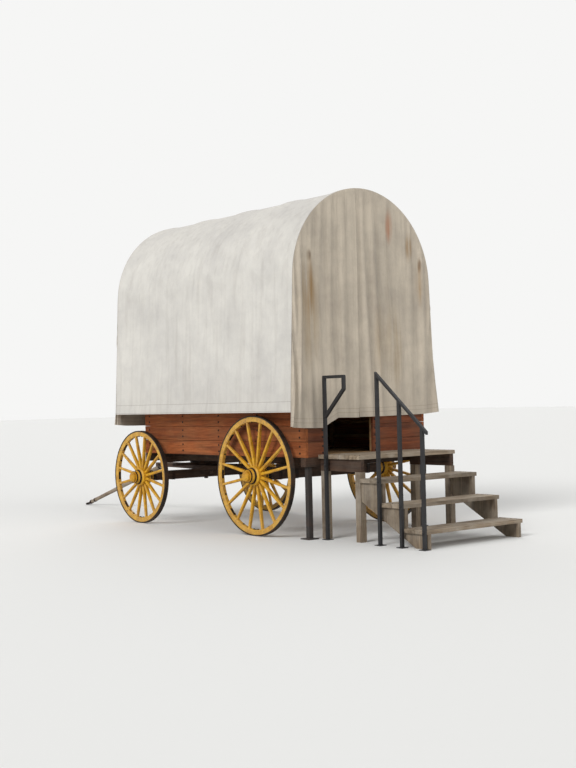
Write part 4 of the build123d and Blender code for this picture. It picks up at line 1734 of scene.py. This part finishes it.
class Finishes:
    """Every finish on the wagon."""

    def __init__(self, arch: Arch) -> None:
        """Makes the finishes.

        Args:
            arch: the cover's outline, whose girth places the stitches.
        """
        # Sawn pine brushed once with thin oil stain: matt and streaky, greyer where rain wears it
        box = Timber("stained pine side boards", "9a5429", "6c3618", "875c38", tone_spread=0.3)
        ends = Timber("stained pine end boards", "7b4123", "532a17", "714e37", grain=Grain.ALONG_Y)
        # Bare sawn pine under cover: pale, hardly weathered
        inside = Timber("bare sawn pine", "b08a5c", "8c6a44", "9a8a74", 0.3, tone_spread=0.2)
        # Hewn oak darkened with oil and road dirt: nearly black brown, with dusty grey patches
        whole = {"board_mm": 4000, "tone_spread": 0.0}
        gear = Timber("oiled oak", "4a3527", "2e2018", "5c5046", 0.4, **whole)
        # Sawn planks left bare in the weather: silver grey raised grain, each board a little different
        planks = Timber(
            "weathered pine planks",
            "8f7f6b",
            "6a5c4c",
            "a39a8c",
            0.6,
            Grain.ALONG_Y,
            board_axis=0,
            board_mm=142.0,
            board_from=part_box("treads")[0].x,
        )
        posts = Timber("weathered pine posts", "8a7a66", "64574a", "9c9385", 0.6, Grain.ALONG_Z, **whole)
        # A shaved ash pole, bare and grey from the weather
        pole = Timber("weathered ash pole", "978571", "6f6152", "a89f90", 0.6, **whole)
        self.box_wood = box.build()
        self.end_wood = ends.build()
        self.inside_wood = inside.build()
        self.gear_wood = gear.build()
        self.cross_gear_wood = replace(gear, name="oiled oak across", grain=Grain.ALONG_Y).build()
        self.plank_wood = planks.build()
        self.post_wood = posts.build()
        self.tongue_wood = pole.build()

        # Forged iron: dull dark scale with brown rust in patches
        self.iron = Iron("forged iron", "2b2724", "5a3826", 0.5, 0.8, 0.5).build()
        # Rolled iron, scoured by the road: a greyer, shinier band with rust between the scuffs
        self.tyre_iron = Iron("rolled tyre iron", "35302c", "5e4330", 0.6, 0.75, 0.45, 90.0).build()
        # Enamel brushed on steel tube: an even black skin with soft highlights, rusty in small spots
        self.black_paint = Iron("black enamel on steel", "131315", "2e2622", 0.25, 0.0, 0.5, 120.0).build()
        self.leg_paint = Iron(
            "worn dark enamel on steel", "2a2725", "4d382b", 0.4, 0.0, 0.55, patch_mm=100.0
        ).build()
        self.wheel_paints = {}
        for end in ("rear", "front"):
            low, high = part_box(f"{end}_wheel_left_tyre")
            middle = ((low.x + high.x) / 2, 0.0, (low.z + high.z) / 2)
            paint = WheelPaint(f"yellow {end} wheel paint", middle, (high.z - low.z) / 2)
            self.wheel_paints[end] = paint.build()

        # Plain woven cotton duck, proofed and bleached by the sun: matt, with grey rain streaks
        self.canvas = Canvas(
            "off-white cotton duck",
            "d2cfc8",
            "bfbcb7",
            soil="80766d",
            # painted shade darkens the cover's ridge
            ridge_shade=0.3,
            streak_share=0.22,
            girth=arch.girth,
            stitch_lines=(0.012, 0.105),
        ).build()
        # The same duck in a darker beige with broader streaks: partly its own warmer tone and partly
        # painted shade
        beige = Canvas(
            "beige cotton duck", "bcb1a0", "a2988a", hem_z=1.15, streak_mm=75.0, stitch_lines=(0.050, 0.090)
        )
        self.front_canvas = beige.build()
        # Rust from a nail, and rainwater that ran in under the bow
        stains = (
            Stain(0.742, 2.87, 2.71, 0.040, 1.0, "3f2c1c"),
            Stain(0.755, 2.90, 2.02, 0.100, 1.0, "86632f"),
            Stain(0.760, 3.00, 1.50, 0.190, 0.45, "8f7650"),
            Stain(-0.369, 3.38, 2.92, 0.075, 0.7, "a2643c"),
            Stain(-0.655, 3.14, 2.75, 0.070, 0.8, "86632f"),
            Stain(-0.804, 2.88, 2.66, 0.032, 1.0, "5a3f28"),
            Stain(-0.800, 2.90, 2.25, 0.070, 0.6, "86632f"),
            Stain(-0.400, 2.50, 1.30, 0.150, 0.55, "8f7650"),
            Stain(-0.200, 2.50, 1.40, 0.120, 0.35, "8f7650"),
        )
        self.rear_canvas = replace(beige, name="stained beige cotton duck", stains=stains).build()


@dataclass
class Wagon:
    """The whole covered wagon, dressed piece by piece."""

    arch: Arch
    finishes: Finishes
    rear_wheel_radius: float = 0.610
    front_wheel_radius: float = 0.530

    def build(self) -> None:
        """Makes every piece and gives every node its finish."""
        self.dress_nodes()
        self.hang_cloth()
        self.fit_iron()

    def dress_nodes(self) -> None:
        """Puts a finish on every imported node. What the table leaves out is iron or part of a wheel."""
        own = self.finishes
        table = (
            (own.box_wood, "side_boards_left side_boards_right"),
            (own.end_wood, "front_boards rear_boards"),
            (own.inside_wood, "floor_boards cleats ledges front_tie bows purlins"),
            (own.canvas, "canvas_cover"),
            (own.front_canvas, "front_curtain"),
            (own.rear_canvas, "rear_curtain_left rear_curtain_right"),
            (own.gear_wood, "sills reach_pole rear_hounds front_hounds landing_joists"),
            (own.cross_gear_wood, "end_bearers rear_axle_beam rear_bolster front_bolster"),
            (own.cross_gear_wood, "sand_board front_axle_beam slider_bar"),
            (own.tongue_wood, "tongue_pole"),
            (own.plank_wood, "landing_deck treads"),
            (own.post_wood, "landing_legs stringers"),
            (own.leg_paint, "rear_legs"),
            (own.black_paint, "stair_rail landing_guard"),
        )
        finishes = {name: finish for finish, names in table for name in names.split()}
        for name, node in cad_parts.items():
            finish = finishes.get(name, own.iron)
            if name.endswith("_tyre"):
                finish = own.tyre_iron
            elif name.endswith(("_hub", "_spokes", "_felloes")):
                finish = own.wheel_paints[name.split("_")[0]]
            node.data.materials.clear()
            node.data.materials.append(finish)

    def hang_cloth(self) -> None:
        """Makes the cover and the curtains."""
        low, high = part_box("canvas_cover")
        CoverCloth(self.arch, self.finishes.canvas).build()
        rear_left = Curtain(
            "curtain_rear_left",
            "rear_curtain_left",
            self.arch,
            self.finishes.rear_canvas,
            low.x,
            -1.0,
            ((1.02, 1.11), (0.58, 1.11), (0.385, 1.21), (0.104, 1.21)),
            end=0.104,
            overlap_lift=0.012,
            pleats_per_metre=6.5,
            seed=1.0,
        )
        rear_right = replace(
            rear_left,
            name="curtain_rear_right",
            node="rear_curtain_right",
            hem_line=((0.122, 1.21), (-1.02, 1.21)),
            start=0.122,
            end=None,
            overlap_lift=0.0,
            pleats_per_metre=4.6,
            pleat_depth=0.048,
            seed=4.0,
        )
        front = Curtain(
            "curtain_front",
            "front_curtain",
            self.arch,
            self.finishes.front_canvas,
            high.x,
            1.0,
            ((1.02, 1.13), (-1.02, 1.13)),
            spacing=0.02,
            seed=13.0,
        )
        for curtain in (rear_left, rear_right, front):
            curtain.build()

    def fit_iron(self) -> None:
        """Makes the iron and timber fittings."""
        own = self.finishes
        for end, radius in (("rear", self.rear_wheel_radius), ("front", self.front_wheel_radius)):
            for side_name, side in (("left", 1), ("right", -1)):
                wheel = f"{end}_wheel_{side_name}"
                WheelFittings(wheel, radius, side, own.iron, own.wheel_paints[end]).build()
        BoxFittings(own.iron, own.inside_wood).build()
        GearFittings(own.iron).build()
        StepFittings(own.iron, own.black_paint).build()


def main() -> None:
    """Builds the studio and the wagon."""
    logging.basicConfig(level=logging.INFO, format="%(name)s: %(message)s")
    PhotoCamera().build()
    Studio().build()
    arch = Arch()
    Wagon(arch, Finishes(arch)).build()


if __name__ == "__main__":
    main()
